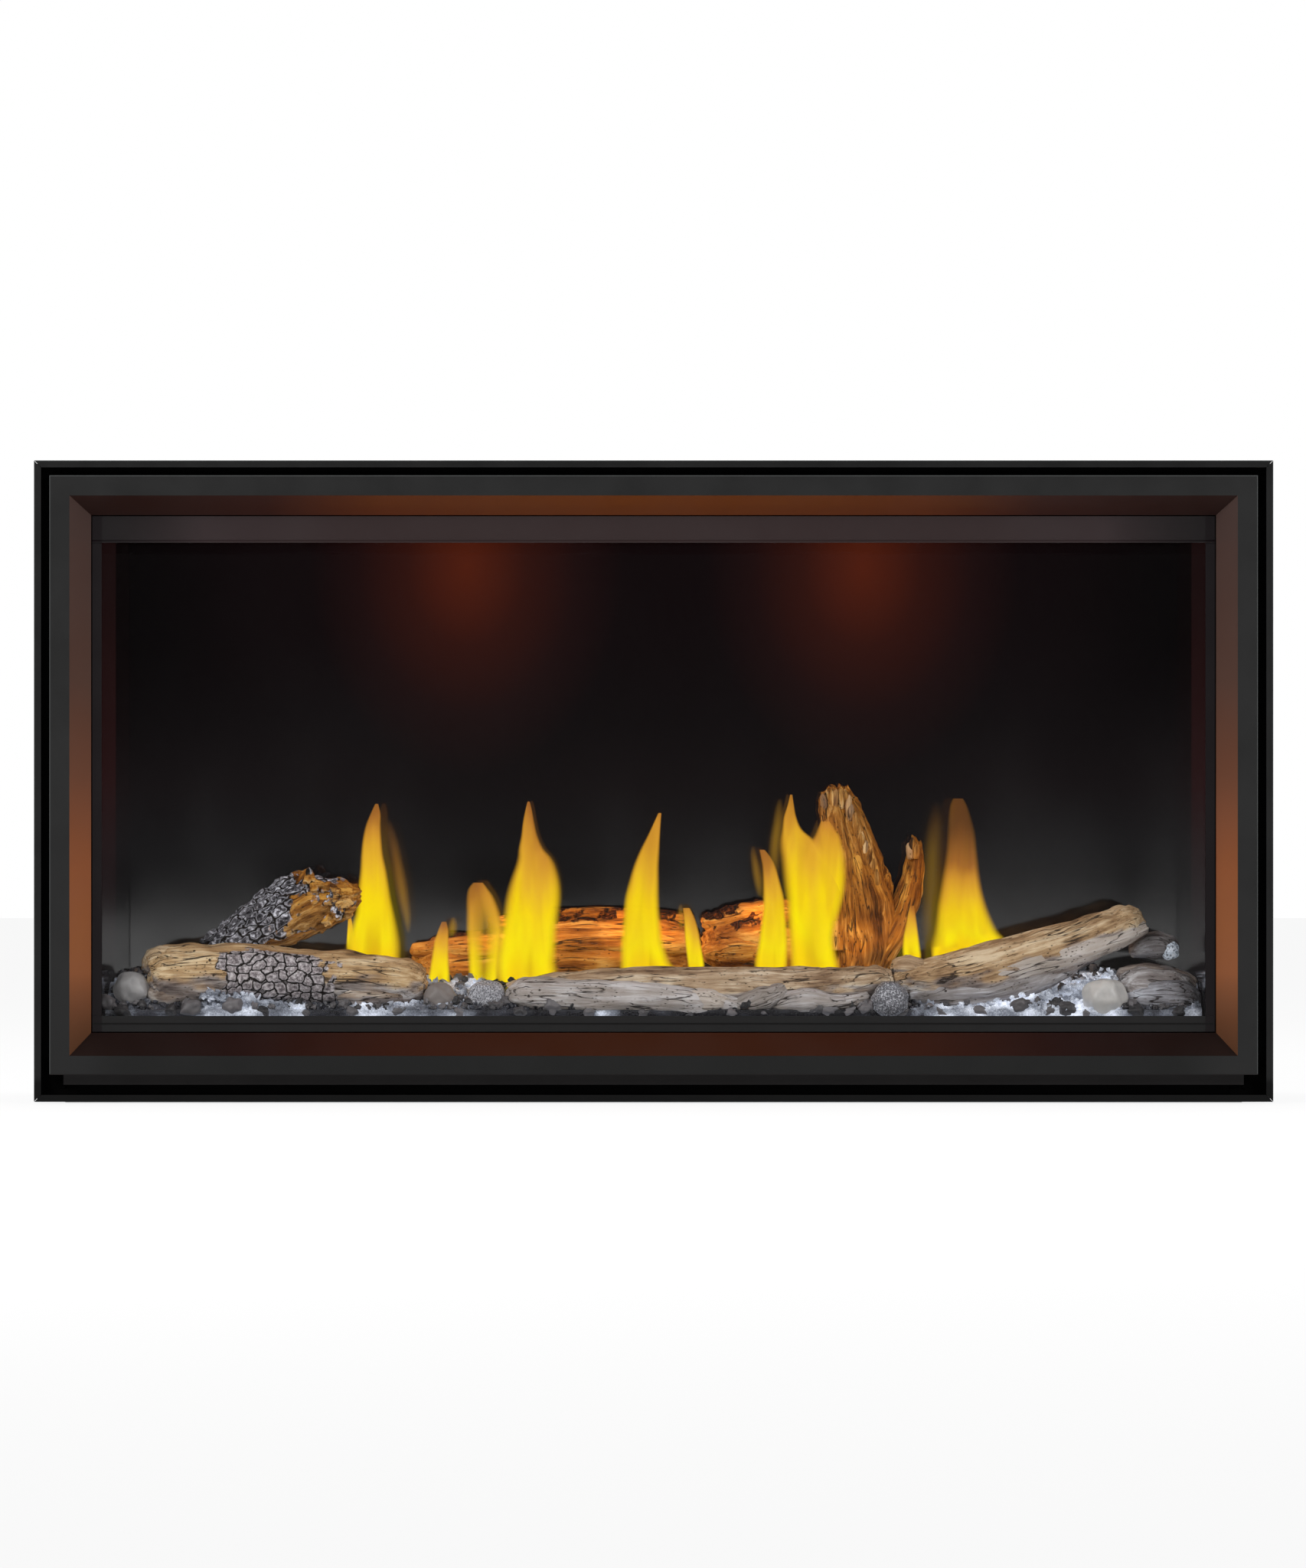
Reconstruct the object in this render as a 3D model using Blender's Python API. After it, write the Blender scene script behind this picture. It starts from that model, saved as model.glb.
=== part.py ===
"""Direct vent gas fireplace with a linear log and glass media bed.

Units are metres, +Z is up, the front faces -Y, and the origin is at the middle of the base.
A depth is measured from the front plane of the face frame towards the back.
"""

import math

import bmesh
import bpy
from mathutils import Matrix, Vector, noise

# Overall size
TRIM_WIDTH = 1.422
TRIM_HEIGHT = 0.736
OVERALL_DEPTH = 0.440
TRIM_LIFT = 0.002
GAP = 0.0003
SHEET = 0.002
CUT_OVERRUN = 0.004

# Finishing trim: a lip over the wall finish, a leg through it and a flange on the casing
LIP_WIDTH = 0.008
LIP_SETBACK = 0.004
TRIM_SHEET = 0.002
TRIM_LEG = 0.026
TRIM_FLANGE = 0.030

# Face frame: a flat face, a splayed reveal and a return that seats on the trim flange
FACE_GAPS = {"left": 0.0100, "right": 0.0100, "top": 0.0094, "bottom": 0.0232}
FACE_WIDTHS = {"left": 0.0230, "right": 0.0230, "top": 0.0230, "bottom": 0.0217}
REVEAL_WIDTHS = {"left": 0.0230, "right": 0.0230, "top": 0.0217, "bottom": 0.0257}
REVEAL_DEPTH = 0.032
FACE_SHEET = 0.002
LOWER_LIP_DROP = 0.012
LOWER_LIP_INSET = 0.015
LOWER_LIP_SETBACK = 0.018

# Glass door
DOOR_CLEARANCE = 0.0012
DOOR_STANDOFF = 0.002
DOOR_DEPTH = 0.012
STILE_WIDTH = 0.0108
TOP_RAIL_WIDTH = 0.0304
BOTTOM_RAIL_WIDTH = 0.0181
BEAD_HEIGHT = 0.003
BEAD_PROUD = 0.0015
GROOVE_HEIGHT = 0.0015
GROOVE_DEPTH = 0.0008
GLASS_THICK = 0.005
GLASS_EDGE_CLEARANCE = 0.0005
GASKET_WIDTH = 0.007
GASKET_THICK = 0.006

# Firebox and its porcelain liners
LINER_SIDE_CLEARANCE = 0.0005
LINER_THICK = 0.003
EXHAUST_CHANNEL = 0.034
FLOOR_BELOW_VIEW = 0.0099
FLOOR_FLANGE_UP = 0.008
FLOOR_FLANGE_DOWN = 0.004
FIREBOX_TOP_ABOVE_VIEW = 0.0277
TOP_FLANGE_ABOVE_VIEW = 0.002
LINER_TOP_ABOVE_VIEW = 0.0115

# Outer casing, its base rails and its top standoffs
CASING_SIDE_INSET = 0.021
CASING_TOP_INSET = 0.018
BASE_RAIL_HEIGHT = 0.012
BASE_RAIL_WIDTH = 0.034
BASE_RAIL_END_INSET = 0.012
BASE_RAIL_SETBACK = 0.022
AIR_CHANNEL = 0.022
STANDOFF_WIDTH = 0.060
STANDOFF_FOOT = 0.018
STANDOFF_HEIGHT = 0.014
STANDOFF_END_INSET = 0.060
STANDOFF_SIDE_INSET = 0.260

# Coaxial vent collars on the back
VENT_DROP = 0.180
EXHAUST_RADIUS = 0.0635
INTAKE_RADIUS = 0.1016
COLLAR_WALL = 0.0014
COLLAR_FLANGE = 0.012
COLLAR_INSIDE = 0.002
COLLAR_REACH = 0.0421
COLLAR_SIDES = 40

# Pressure relief flaps on the firebox top
FLAP_INSET = 0.205
FLAP_LENGTH = 0.150
FLAP_REACH = 0.058
FLAP_LAP = 0.010
FLAP_SETBACK = 0.1419
HINGE_RADIUS = 0.003
HINGE_PIN_RADIUS = 0.0015
HINGE_PIN_CLEARANCE = 0.0003
HINGE_EAR_WIDTH = 0.003
HINGE_EAR_REACH = 0.006

# Accent lamps under the firebox top
LAMP_SPREAD_SHARE = 0.3685
LAMP_SHIFT = 0.013
LAMP_RADIUS = 0.028
LAMP_RIM = 0.004
LAMP_HEIGHT = 0.011
LAMP_RECESS = 0.003
LAMP_SETBACK = 0.0389

# Media tray, embers and light strip
TRAY_SETBACK = 0.0161
TRAY_END_CLEARANCE = 0.003
TRAY_SLOPE_SHARE = 0.3784
TRAY_DECK_SHARE = 0.5657
TRAY_BACK_CLEARANCE = 0.004
TRAY_FRONT_RISE = 0.008
TRAY_DECK_RISE = 0.038
TRAY_BACK_RISE = 0.048
EMBER_THICK = 0.008
STRIP_DEPTH = 0.006
STRIP_HEIGHT = 0.007
STRIP_END_INSET = 0.030

# Burner, its air shutter and its orifice
BURNER_FRONT_SHARE = 0.3897
BURNER_WIDTH = 0.044
BURNER_HEIGHT = 0.033
BURNER_LEFT_INSET = 0.1588
BURNER_RIGHT_INSET = 0.0788
VENTURI_RADIUS = 0.012
VENTURI_BORE = 0.010
VENTURI_LENGTH = 0.074
VENTURI_BORE_LENGTH = 0.090
VENTURI_HEIGHT = 0.017
SHUTTER_CLEARANCE = 0.0003
SHUTTER_WALL = 0.002
SHUTTER_LENGTH = 0.030
SHUTTER_END_INSET = 0.003
SHUTTER_TAB_REACH = 0.012
SHUTTER_TAB_WIDTH = 0.008
ORIFICE_RADIUS = 0.0065
ORIFICE_TIP_RADIUS = 0.004
ORIFICE_TIP_LENGTH = 0.010
ORIFICE_REACH = 0.020
ORIFICE_AIR_GAP = 0.006
ORIFICE_FLANGE_RADIUS = 0.013
ORIFICE_FLANGE_THICK = 0.003
ORIFICE_STEM_BELOW = 0.012

# Pilot and its electrode
PILOT_ACROSS_SHARE = -0.4961
PILOT_SETBACK = 0.026
PILOT_HOLE = 0.048
PILOT_PLATE_LENGTH = 0.040
PILOT_PLATE_WIDTH = 0.024
PILOT_PLATE_HEIGHT = 0.036
PILOT_LEG_WIDTH = 0.010
PILOT_HOOD_RADIUS = 0.007
PILOT_HOOD_BORE = 0.004
PILOT_HOOD_HEIGHT = 0.030
PILOT_HOOD_OFFSET = 0.009
ELECTRODE_RADIUS = 0.0025
ELECTRODE_COLLAR_RADIUS = 0.0038
ELECTRODE_COLLAR_HEIGHT = 0.003
ELECTRODE_TIP_RADIUS = 0.0010
ELECTRODE_BELOW = 0.012
ELECTRODE_ABOVE = 0.018
ELECTRODE_TIP_LENGTH = 0.008

# Gas train in the lower compartment
VALVE_OFFSET = 0.200
VALVE_LEAD = 0.058
VALVE_LENGTH = 0.092
VALVE_WIDTH = 0.070
VALVE_HEIGHT = 0.050
VALVE_EDGE = 0.004
VALVE_HEAD_RADIUS = 0.021
VALVE_HEAD_HEIGHT = 0.012
KNOB_RADIUS = 0.015
KNOB_GRIP_RADIUS = 0.012
KNOB_LENGTH = 0.016
KNOB_SKIRT = 0.005
KNOB_STEM_RADIUS = 0.004
KNOB_STEM_LENGTH = 0.008
KNOB_STEM_CLEARANCE = 0.0003
KNOB_HEIGHT = 0.028
KNOB_INDEX_WIDTH = 0.003
KNOB_INDEX_PROUD = 0.0015
PIPE_RADIUS = 0.0075
FEED_RADIUS = 0.0050
FEED_BEND = 0.011
PIPE_HEIGHT = 0.026
SHUTOFF_OFFSET = 0.020
SHUTOFF_LENGTH = 0.048
SHUTOFF_RADIUS = 0.013
SHUTOFF_NUT_RADIUS = 0.016
SHUTOFF_NUT_LENGTH = 0.012
SHUTOFF_STEM_RADIUS = 0.005
SHUTOFF_STEM_RISE = 0.006
LEVER_LENGTH = 0.052
LEVER_WIDTH = 0.012
LEVER_THICK = 0.003
LEVER_HUB_RADIUS = 0.009
LEVER_HUB_HEIGHT = 0.006

# Electrical pieces in the lower compartment
MODULE_ACROSS_SHARE = 0.2835
MODULE_LENGTH = 0.130
MODULE_WIDTH = 0.085
MODULE_HEIGHT = 0.034
MODULE_EDGE = 0.003
MODULE_SOCKET_LENGTH = 0.040
MODULE_SOCKET_HEIGHT = 0.012
MODULE_SOCKET_DEPTH = 0.006
JUNCTION_INSET = 0.0788
JUNCTION_LENGTH = 0.100
JUNCTION_WIDTH = 0.070
JUNCTION_HEIGHT = 0.050
JUNCTION_KNOCKOUT_RADIUS = 0.011
JUNCTION_KNOCKOUT_DEPTH = 0.0015

# Logs: rows of shares along each log. Across is a share of the view's half width, deep a share
# of the bed's depth, up and thick shares of the view's height above its lower edge.
LOG_SIDES = 12
LOG_RINGS_PER_SPAN = 3
LOG_ROUGHNESS_SHARE = 0.13
LOG_NOISE_CYCLES = 2.3
LOG_SHARES = {
    "front_left_log": (
        (-0.913, 0.170, 0.074, 0.050),
        (-0.885, 0.170, 0.080, 0.064),
        (-0.780, 0.172, 0.084, 0.066),
        (-0.640, 0.172, 0.078, 0.061),
        (-0.520, 0.165, 0.072, 0.057),
        (-0.445, 0.160, 0.066, 0.050),
        (-0.418, 0.158, 0.064, 0.036),
    ),
    "front_centre_log": (
        (-0.258, 0.150, 0.036, 0.028),
        (-0.235, 0.150, 0.040, 0.038),
        (-0.110, 0.148, 0.046, 0.050),
        (0.060, 0.146, 0.048, 0.055),
        (0.230, 0.146, 0.050, 0.053),
        (0.350, 0.150, 0.060, 0.040),
        (0.412, 0.156, 0.070, 0.032),
        (0.436, 0.158, 0.076, 0.020),
    ),
    "front_right_log": (
        (0.442, 0.176, 0.064, 0.026),
        (0.470, 0.172, 0.068, 0.040),
        (0.530, 0.164, 0.074, 0.052),
        (0.620, 0.168, 0.096, 0.058),
        (0.730, 0.180, 0.132, 0.054),
        (0.815, 0.215, 0.170, 0.047),
        (0.868, 0.235, 0.196, 0.036),
        (0.892, 0.242, 0.204, 0.018),
    ),
    "right_end_log": (
        (0.850, 0.150, 0.058, 0.026),
        (0.880, 0.155, 0.056, 0.046),
        (0.940, 0.160, 0.050, 0.050),
        (0.975, 0.162, 0.048, 0.036),
    ),
    "rear_left_log": (
        (-0.890, 0.470, 0.078, 0.020),
        (-0.830, 0.430, 0.106, 0.028),
        (-0.760, 0.390, 0.150, 0.036),
        (-0.695, 0.375, 0.184, 0.045),
        (-0.632, 0.365, 0.228, 0.060),
        (-0.578, 0.360, 0.244, 0.046),
        (-0.548, 0.355, 0.250, 0.028),
    ),
    "rear_centre_log": (
        (-0.442, 0.760, 0.114, 0.020),
        (-0.405, 0.760, 0.108, 0.052),
        (-0.300, 0.760, 0.114, 0.060),
        (-0.180, 0.762, 0.130, 0.074),
        (-0.040, 0.764, 0.132, 0.077),
        (0.050, 0.766, 0.128, 0.068),
        (0.082, 0.766, 0.124, 0.048),
    ),
    "stub_log": (
        (0.096, 0.640, 0.158, 0.034),
        (0.118, 0.640, 0.154, 0.062),
        (0.175, 0.640, 0.156, 0.080),
        (0.240, 0.640, 0.158, 0.084),
        (0.272, 0.640, 0.156, 0.070),
    ),
    "forked_log": (
        (0.380, 0.660, 0.076, 0.060),
        (0.388, 0.660, 0.130, 0.068),
        (0.383, 0.662, 0.214, 0.072),
        (0.369, 0.664, 0.308, 0.066),
        (0.351, 0.668, 0.400, 0.050),
        (0.341, 0.670, 0.452, 0.042),
        (0.340, 0.670, 0.474, 0.030),
    ),
}
FORK_PRONG_SHARES = (
    (0.391, 0.660, 0.096, 0.038),
    (0.434, 0.660, 0.168, 0.036),
    (0.467, 0.662, 0.243, 0.029),
    (0.480, 0.664, 0.310, 0.023),
    (0.484, 0.664, 0.362, 0.015),
)
STUB_FLATTEN_SHARE = 0.80
FORK_FLATTEN_SHARE = 0.62
REAR_FLATTEN_SHARE = 0.85

# Stones, in the same shares, with the radius as a share of the view's height
STONE_SHARES = {
    "stone_smooth": (-0.381, 0.100, 0.036, 0.033),
    "stone_speckled": (0.426, 0.020, 0.036, 0.037),
    "stone_white": (0.812, 0.055, 0.042, 0.045),
}
STONE_FLATTEN_SHARE = 0.86
STONE_DETAIL = 3

# Places worked out from the sizes above
HALF_WIDTH = TRIM_WIDTH / 2
TRIM_BOTTOM = TRIM_LIFT
TRIM_TOP = TRIM_LIFT + TRIM_HEIGHT
FLANGE_FRONT = LIP_SETBACK + TRIM_LEG - TRIM_SHEET
FLANGE_BACK = LIP_SETBACK + TRIM_LEG

FACE_LEFT = -HALF_WIDTH + LIP_WIDTH + FACE_GAPS["left"]
FACE_RIGHT = HALF_WIDTH - LIP_WIDTH - FACE_GAPS["right"]
FACE_BOTTOM = TRIM_BOTTOM + LIP_WIDTH + FACE_GAPS["bottom"]
FACE_TOP = TRIM_TOP - LIP_WIDTH - FACE_GAPS["top"]

DOOR_FRONT = REVEAL_DEPTH + DOOR_STANDOFF
DOOR_HALF = FACE_RIGHT - FACE_WIDTHS["right"] - REVEAL_WIDTHS["right"] - DOOR_CLEARANCE
DOOR_BOTTOM = FACE_BOTTOM + FACE_WIDTHS["bottom"] + REVEAL_WIDTHS["bottom"] + DOOR_CLEARANCE
DOOR_TOP = FACE_TOP - FACE_WIDTHS["top"] - REVEAL_WIDTHS["top"] - DOOR_CLEARANCE
GLASS_FRONT = DOOR_FRONT + SHEET + GAP
GLASS_BACK = GLASS_FRONT + GLASS_THICK
GLASS_HALF = DOOR_HALF - SHEET - GLASS_EDGE_CLEARANCE
GLASS_BOTTOM = DOOR_BOTTOM + SHEET + GLASS_EDGE_CLEARANCE
GLASS_TOP = DOOR_TOP - SHEET - GLASS_EDGE_CLEARANCE

VIEW_HALF = DOOR_HALF - STILE_WIDTH
VIEW_BOTTOM = DOOR_BOTTOM + BOTTOM_RAIL_WIDTH
VIEW_TOP = DOOR_TOP - TOP_RAIL_WIDTH
VIEW_HEIGHT = VIEW_TOP - VIEW_BOTTOM

FIREBOX_FRONT = GLASS_BACK + GAP + GASKET_THICK + GAP
FIREBOX_BACK = OVERALL_DEPTH - COLLAR_REACH - 2 * SHEET - AIR_CHANNEL
LINER_IN = VIEW_HALF + LINER_SIDE_CLEARANCE
FIREBOX_IN = LINER_IN + LINER_THICK + GAP
FLOOR_TOP = VIEW_BOTTOM - FLOOR_BELOW_VIEW
FLOOR_BOTTOM = FLOOR_TOP - SHEET
FIREBOX_CEILING = VIEW_TOP + FIREBOX_TOP_ABOVE_VIEW
LINER_BACK_FRONT = FIREBOX_BACK - EXHAUST_CHANNEL - LINER_THICK

CASING_HALF = HALF_WIDTH - CASING_SIDE_INSET
CASING_TOP = TRIM_TOP - CASING_TOP_INSET
CASING_BOTTOM = BASE_RAIL_HEIGHT
CASING_FRONT = FLANGE_BACK + GAP
CASING_BACK = FIREBOX_BACK + SHEET + AIR_CHANNEL
VENT_HEIGHT = CASING_TOP - VENT_DROP
COMPARTMENT_FLOOR = CASING_BOTTOM + SHEET + GAP

BED_FRONT = FIREBOX_FRONT + TRAY_SETBACK
BED_BACK = LINER_BACK_FRONT - TRAY_BACK_CLEARANCE
BED_DEPTH = BED_BACK - BED_FRONT
BED_HALF = LINER_IN - TRAY_END_CLEARANCE

THROUGH_SHEET = (-CUT_OVERRUN, SHEET + CUT_OVERRUN)
TRAY_SLOPE_END = BED_FRONT + TRAY_SLOPE_SHARE * BED_DEPTH
TRAY_DECK_END = BED_FRONT + TRAY_DECK_SHARE * BED_DEPTH
BURNER_FRONT = BED_FRONT + BURNER_FRONT_SHARE * BED_DEPTH
BURNER_LEFT = FIREBOX_IN - BURNER_LEFT_INSET
BURNER_RIGHT = FIREBOX_IN - BURNER_RIGHT_INSET
BURNER_MIDDLE = BURNER_FRONT + BURNER_WIDTH / 2
BURNER_MOUTH = -BURNER_LEFT - VENTURI_LENGTH
ORIFICE_X = BURNER_MOUTH - ORIFICE_AIR_GAP - ORIFICE_TIP_LENGTH - ORIFICE_REACH / 2
PILOT_X = PILOT_ACROSS_SHARE * VIEW_HALF
PILOT_DEPTH = BURNER_FRONT + BURNER_WIDTH + PILOT_SETBACK

FLAP_SPREAD = VIEW_HALF - FLAP_INSET
FLAP_DEPTH = FIREBOX_BACK - FLAP_SETBACK
LAMP_SPREAD = LAMP_SPREAD_SHARE * VIEW_HALF
LAMP_DEPTH = LINER_BACK_FRONT - LAMP_SETBACK

VALVE_X = ORIFICE_X + VALVE_OFFSET
VALVE_FRONT = BURNER_FRONT - VALVE_LEAD
SHUTOFF_X = ORIFICE_X + SHUTOFF_OFFSET
PIPE_DEPTH = VALVE_FRONT + VALVE_WIDTH / 2
MODULE_X = MODULE_ACROSS_SHARE * VIEW_HALF
JUNCTION_X = FIREBOX_IN - JUNCTION_INSET


def at_depth(depth):
    """World Y of a depth behind the front plane."""
    return depth - OVERALL_DEPTH / 2


def clear_scene():
    for obj in list(bpy.data.objects):
        bpy.data.objects.remove(obj, do_unlink=True)


def material(name, colour, roughness, metallic=0.0, alpha=1.0):
    made = bpy.data.materials.new(name)
    made.use_nodes = True
    shader = made.node_tree.nodes["Principled BSDF"]
    shader.inputs["Base Color"].default_value = (*colour, 1.0)
    shader.inputs["Roughness"].default_value = roughness
    shader.inputs["Metallic"].default_value = metallic
    shader.inputs["Alpha"].default_value = alpha
    made.diffuse_color = (*colour, alpha)
    return made


def add_object(name, mesh, look, smooth_angle=None):
    obj = bpy.data.objects.new(name, mesh)
    bpy.context.scene.collection.objects.link(obj)
    if look is not None:
        mesh.materials.append(look)
    if smooth_angle is not None:
        mesh.shade_smooth()
        mesh.set_sharp_from_angle(angle=smooth_angle)
    return obj


def mesh_from(name, points, faces):
    """A closed mesh from points and faces, with its normals pointing out."""
    shape = bmesh.new()
    corners = [shape.verts.new(point) for point in points]
    for face in faces:
        shape.faces.new([corners[index] for index in face])
    bmesh.ops.recalc_face_normals(shape, faces=shape.faces)
    mesh = bpy.data.meshes.new(name)
    shape.to_mesh(mesh)
    shape.free()
    return mesh


def block(name, across, deep, up, look):
    """A box between two X values, two depths and two heights."""
    points = [(x, at_depth(d), z) for x in across for d in deep for z in up]
    faces = [(0, 1, 3, 2), (4, 6, 7, 5), (0, 4, 5, 1), (2, 3, 7, 6), (0, 2, 6, 4), (1, 5, 7, 3)]
    return add_object(name, mesh_from(name, points, faces), look)


def prism(name, outline, axis, ends, look):
    """An outline pushed along X, Y or Z. Its points are the two other coordinates, in order."""
    points = []
    for end in ends:
        for first, second in outline:
            if axis == "X":
                points.append((end, at_depth(first), second))
            elif axis == "Y":
                points.append((first, at_depth(end), second))
            else:
                points.append((first, at_depth(second), end))
    count = len(outline)
    faces = [tuple(range(count)), tuple(range(count, 2 * count))]
    for index in range(count):
        after = (index + 1) % count
        faces.append((index, after, count + after, count + index))
    return add_object(name, mesh_from(name, points, faces), look)


def turned(name, profile, centre, axis, sides, look, closed=False):
    """A profile of (radius, distance along the axis) turned round an axis through centre."""
    points = []
    rings = []
    for radius, along in profile:
        if radius == 0:
            rings.append([len(points)])
            points.append(Vector((0, 0, along)))
            continue
        ring = []
        for step in range(sides):
            angle = 2 * math.pi * step / sides
            ring.append(len(points))
            points.append(Vector((radius * math.cos(angle), radius * math.sin(angle), along)))
        rings.append(ring)
    faces = []
    spans = len(rings) if closed else len(rings) - 1
    for index in range(spans):
        one = rings[index]
        two = rings[(index + 1) % len(rings)]
        for step in range(sides):
            after = (step + 1) % sides
            if len(one) == 1:
                faces.append((one[0], two[step], two[after]))
            elif len(two) == 1:
                faces.append((one[step], one[after], two[0]))
            else:
                faces.append((one[step], one[after], two[after], two[step]))
    turn = Vector((0, 0, 1)).rotation_difference(Vector(axis)).to_matrix().to_4x4()
    place = Matrix.Translation(Vector(centre)) @ turn
    moved = [place @ point for point in points]
    return add_object(name, mesh_from(name, moved, faces), look, math.radians(35))


def rod(name, radius, along, centre, axis, sides, look):
    """A plain round bar between two distances along an axis through centre."""
    start, end = along
    profile = ((0, start), (radius, start), (radius, end), (0, end))
    return turned(name, profile, centre, axis, sides, look)


def as_helper(obj):
    obj.hide_render = True
    obj.display_type = "WIRE"
    return obj


def cut(obj, cutter):
    change = obj.modifiers.new("cut_" + cutter.name, "BOOLEAN")
    change.operation = "DIFFERENCE"
    change.solver = "EXACT"
    change.object = as_helper(cutter)


def unite(obj, other):
    change = obj.modifiers.new("join_" + other.name, "BOOLEAN")
    change.operation = "UNION"
    change.solver = "EXACT"
    change.object = as_helper(other)


def round_edges(obj, width):
    change = obj.modifiers.new("rounded_edges", "BEVEL")
    change.width = width
    change.segments = 2
    change.limit_method = "ANGLE"


def corner(side_x, side_z, insets, bounds):
    """The corner point of a rectangular frame at these insets from its outer bounds."""
    x = bounds["left"] + insets["left"] if side_x == "left" else bounds["right"] - insets["right"]
    z = bounds["bottom"] + insets["bottom"] if side_z == "bottom" else bounds["top"] - insets["top"]
    return x, z


def framed_profile(widths_and_depths):
    """Rows of (insets by side, depth) from rows whose inset may be one number for all sides."""
    rows = []
    for inset, depth in widths_and_depths:
        by_side = inset if isinstance(inset, dict) else dict.fromkeys(SIDE_CORNERS, inset)
        rows.append((by_side, depth))
    return rows


SIDE_CORNERS = {
    "top": (("left", "top"), ("right", "top")),
    "bottom": (("left", "bottom"), ("right", "bottom")),
    "left": (("left", "bottom"), ("left", "top")),
    "right": (("right", "bottom"), ("right", "top")),
}


def mitred_bar(name, side, bounds, profile, look):
    """One side of a mitred frame, with half the mitre gap taken off each end."""
    points = []
    for end, (side_x, side_z) in enumerate(SIDE_CORNERS[side]):
        shift = GAP if end == 0 else -GAP
        for insets, depth in profile:
            x, z = corner(side_x, side_z, insets, bounds)
            if side in ("top", "bottom"):
                x += shift
            else:
                z += shift
            points.append((x, at_depth(depth), z))
    count = len(profile)
    faces = [tuple(range(count)), tuple(range(count, 2 * count))]
    for index in range(count):
        after = (index + 1) % count
        faces.append((index, after, count + after, count + index))
    return add_object(name, mesh_from(name, points, faces), look)


def whole_ring(name, bounds, profile, look):
    """A rectangular frame in one piece."""
    loops = (("left", "bottom"), ("right", "bottom"), ("right", "top"), ("left", "top"))
    points = []
    for side_x, side_z in loops:
        for insets, depth in profile:
            x, z = corner(side_x, side_z, insets, bounds)
            points.append((x, at_depth(depth), z))
    count = len(profile)
    faces = []
    for turn in range(4):
        for index in range(count):
            after = (index + 1) % count
            here = turn * count
            there = (turn + 1) % 4 * count
            faces.append((here + index, here + after, there + after, there + index))
    return add_object(name, mesh_from(name, points, faces), look)


def finishing_trim(look):
    bounds = {"left": -HALF_WIDTH, "right": HALF_WIDTH, "bottom": TRIM_BOTTOM, "top": TRIM_TOP}
    profile = framed_profile(
        (
            (0.0, LIP_SETBACK),
            (LIP_WIDTH, LIP_SETBACK),
            (LIP_WIDTH, FLANGE_FRONT),
            (LIP_WIDTH + TRIM_FLANGE, FLANGE_FRONT),
            (LIP_WIDTH + TRIM_FLANGE, FLANGE_BACK),
            (LIP_WIDTH - TRIM_SHEET, FLANGE_BACK),
            (LIP_WIDTH - TRIM_SHEET, LIP_SETBACK + TRIM_SHEET),
            (0.0, LIP_SETBACK + TRIM_SHEET),
        )
    )
    for side in SIDE_CORNERS:
        mitred_bar("trim_" + side, side, bounds, profile, look)


def face_frame(look):
    bounds = {"left": FACE_LEFT, "right": FACE_RIGHT, "bottom": FACE_BOTTOM, "top": FACE_TOP}
    sides = ("left", "right", "top", "bottom")
    reveal_end = {side: FACE_WIDTHS[side] + REVEAL_WIDTHS[side] for side in sides}
    back_of_end = {}
    back_of_start = {}
    for side in sides:
        slant = math.hypot(REVEAL_WIDTHS[side], REVEAL_DEPTH)
        skin = FACE_SHEET * slant / REVEAL_DEPTH
        back_of_end[side] = reveal_end[side] - skin
        along = REVEAL_WIDTHS[side] * FACE_SHEET / REVEAL_DEPTH
        back_of_start[side] = FACE_WIDTHS[side] + along - skin
    seat = FLANGE_FRONT - GAP
    profile = framed_profile(
        (
            (0.0, 0.0),
            (FACE_WIDTHS, 0.0),
            (reveal_end, REVEAL_DEPTH),
            (back_of_end, REVEAL_DEPTH),
            (back_of_start, FACE_SHEET),
            (FACE_SHEET, FACE_SHEET),
            (FACE_SHEET, seat),
            (0.0, seat),
        )
    )
    frame = whole_ring("face_frame", bounds, profile, look)
    lip = block(
        "face_lower_lip",
        (FACE_LEFT + LOWER_LIP_INSET, FACE_RIGHT - LOWER_LIP_INSET),
        (LOWER_LIP_SETBACK, LOWER_LIP_SETBACK + FACE_SHEET),
        (FACE_BOTTOM - LOWER_LIP_DROP, FACE_BOTTOM + FACE_SHEET / 2),
        look,
    )
    unite(frame, lip)


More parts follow.
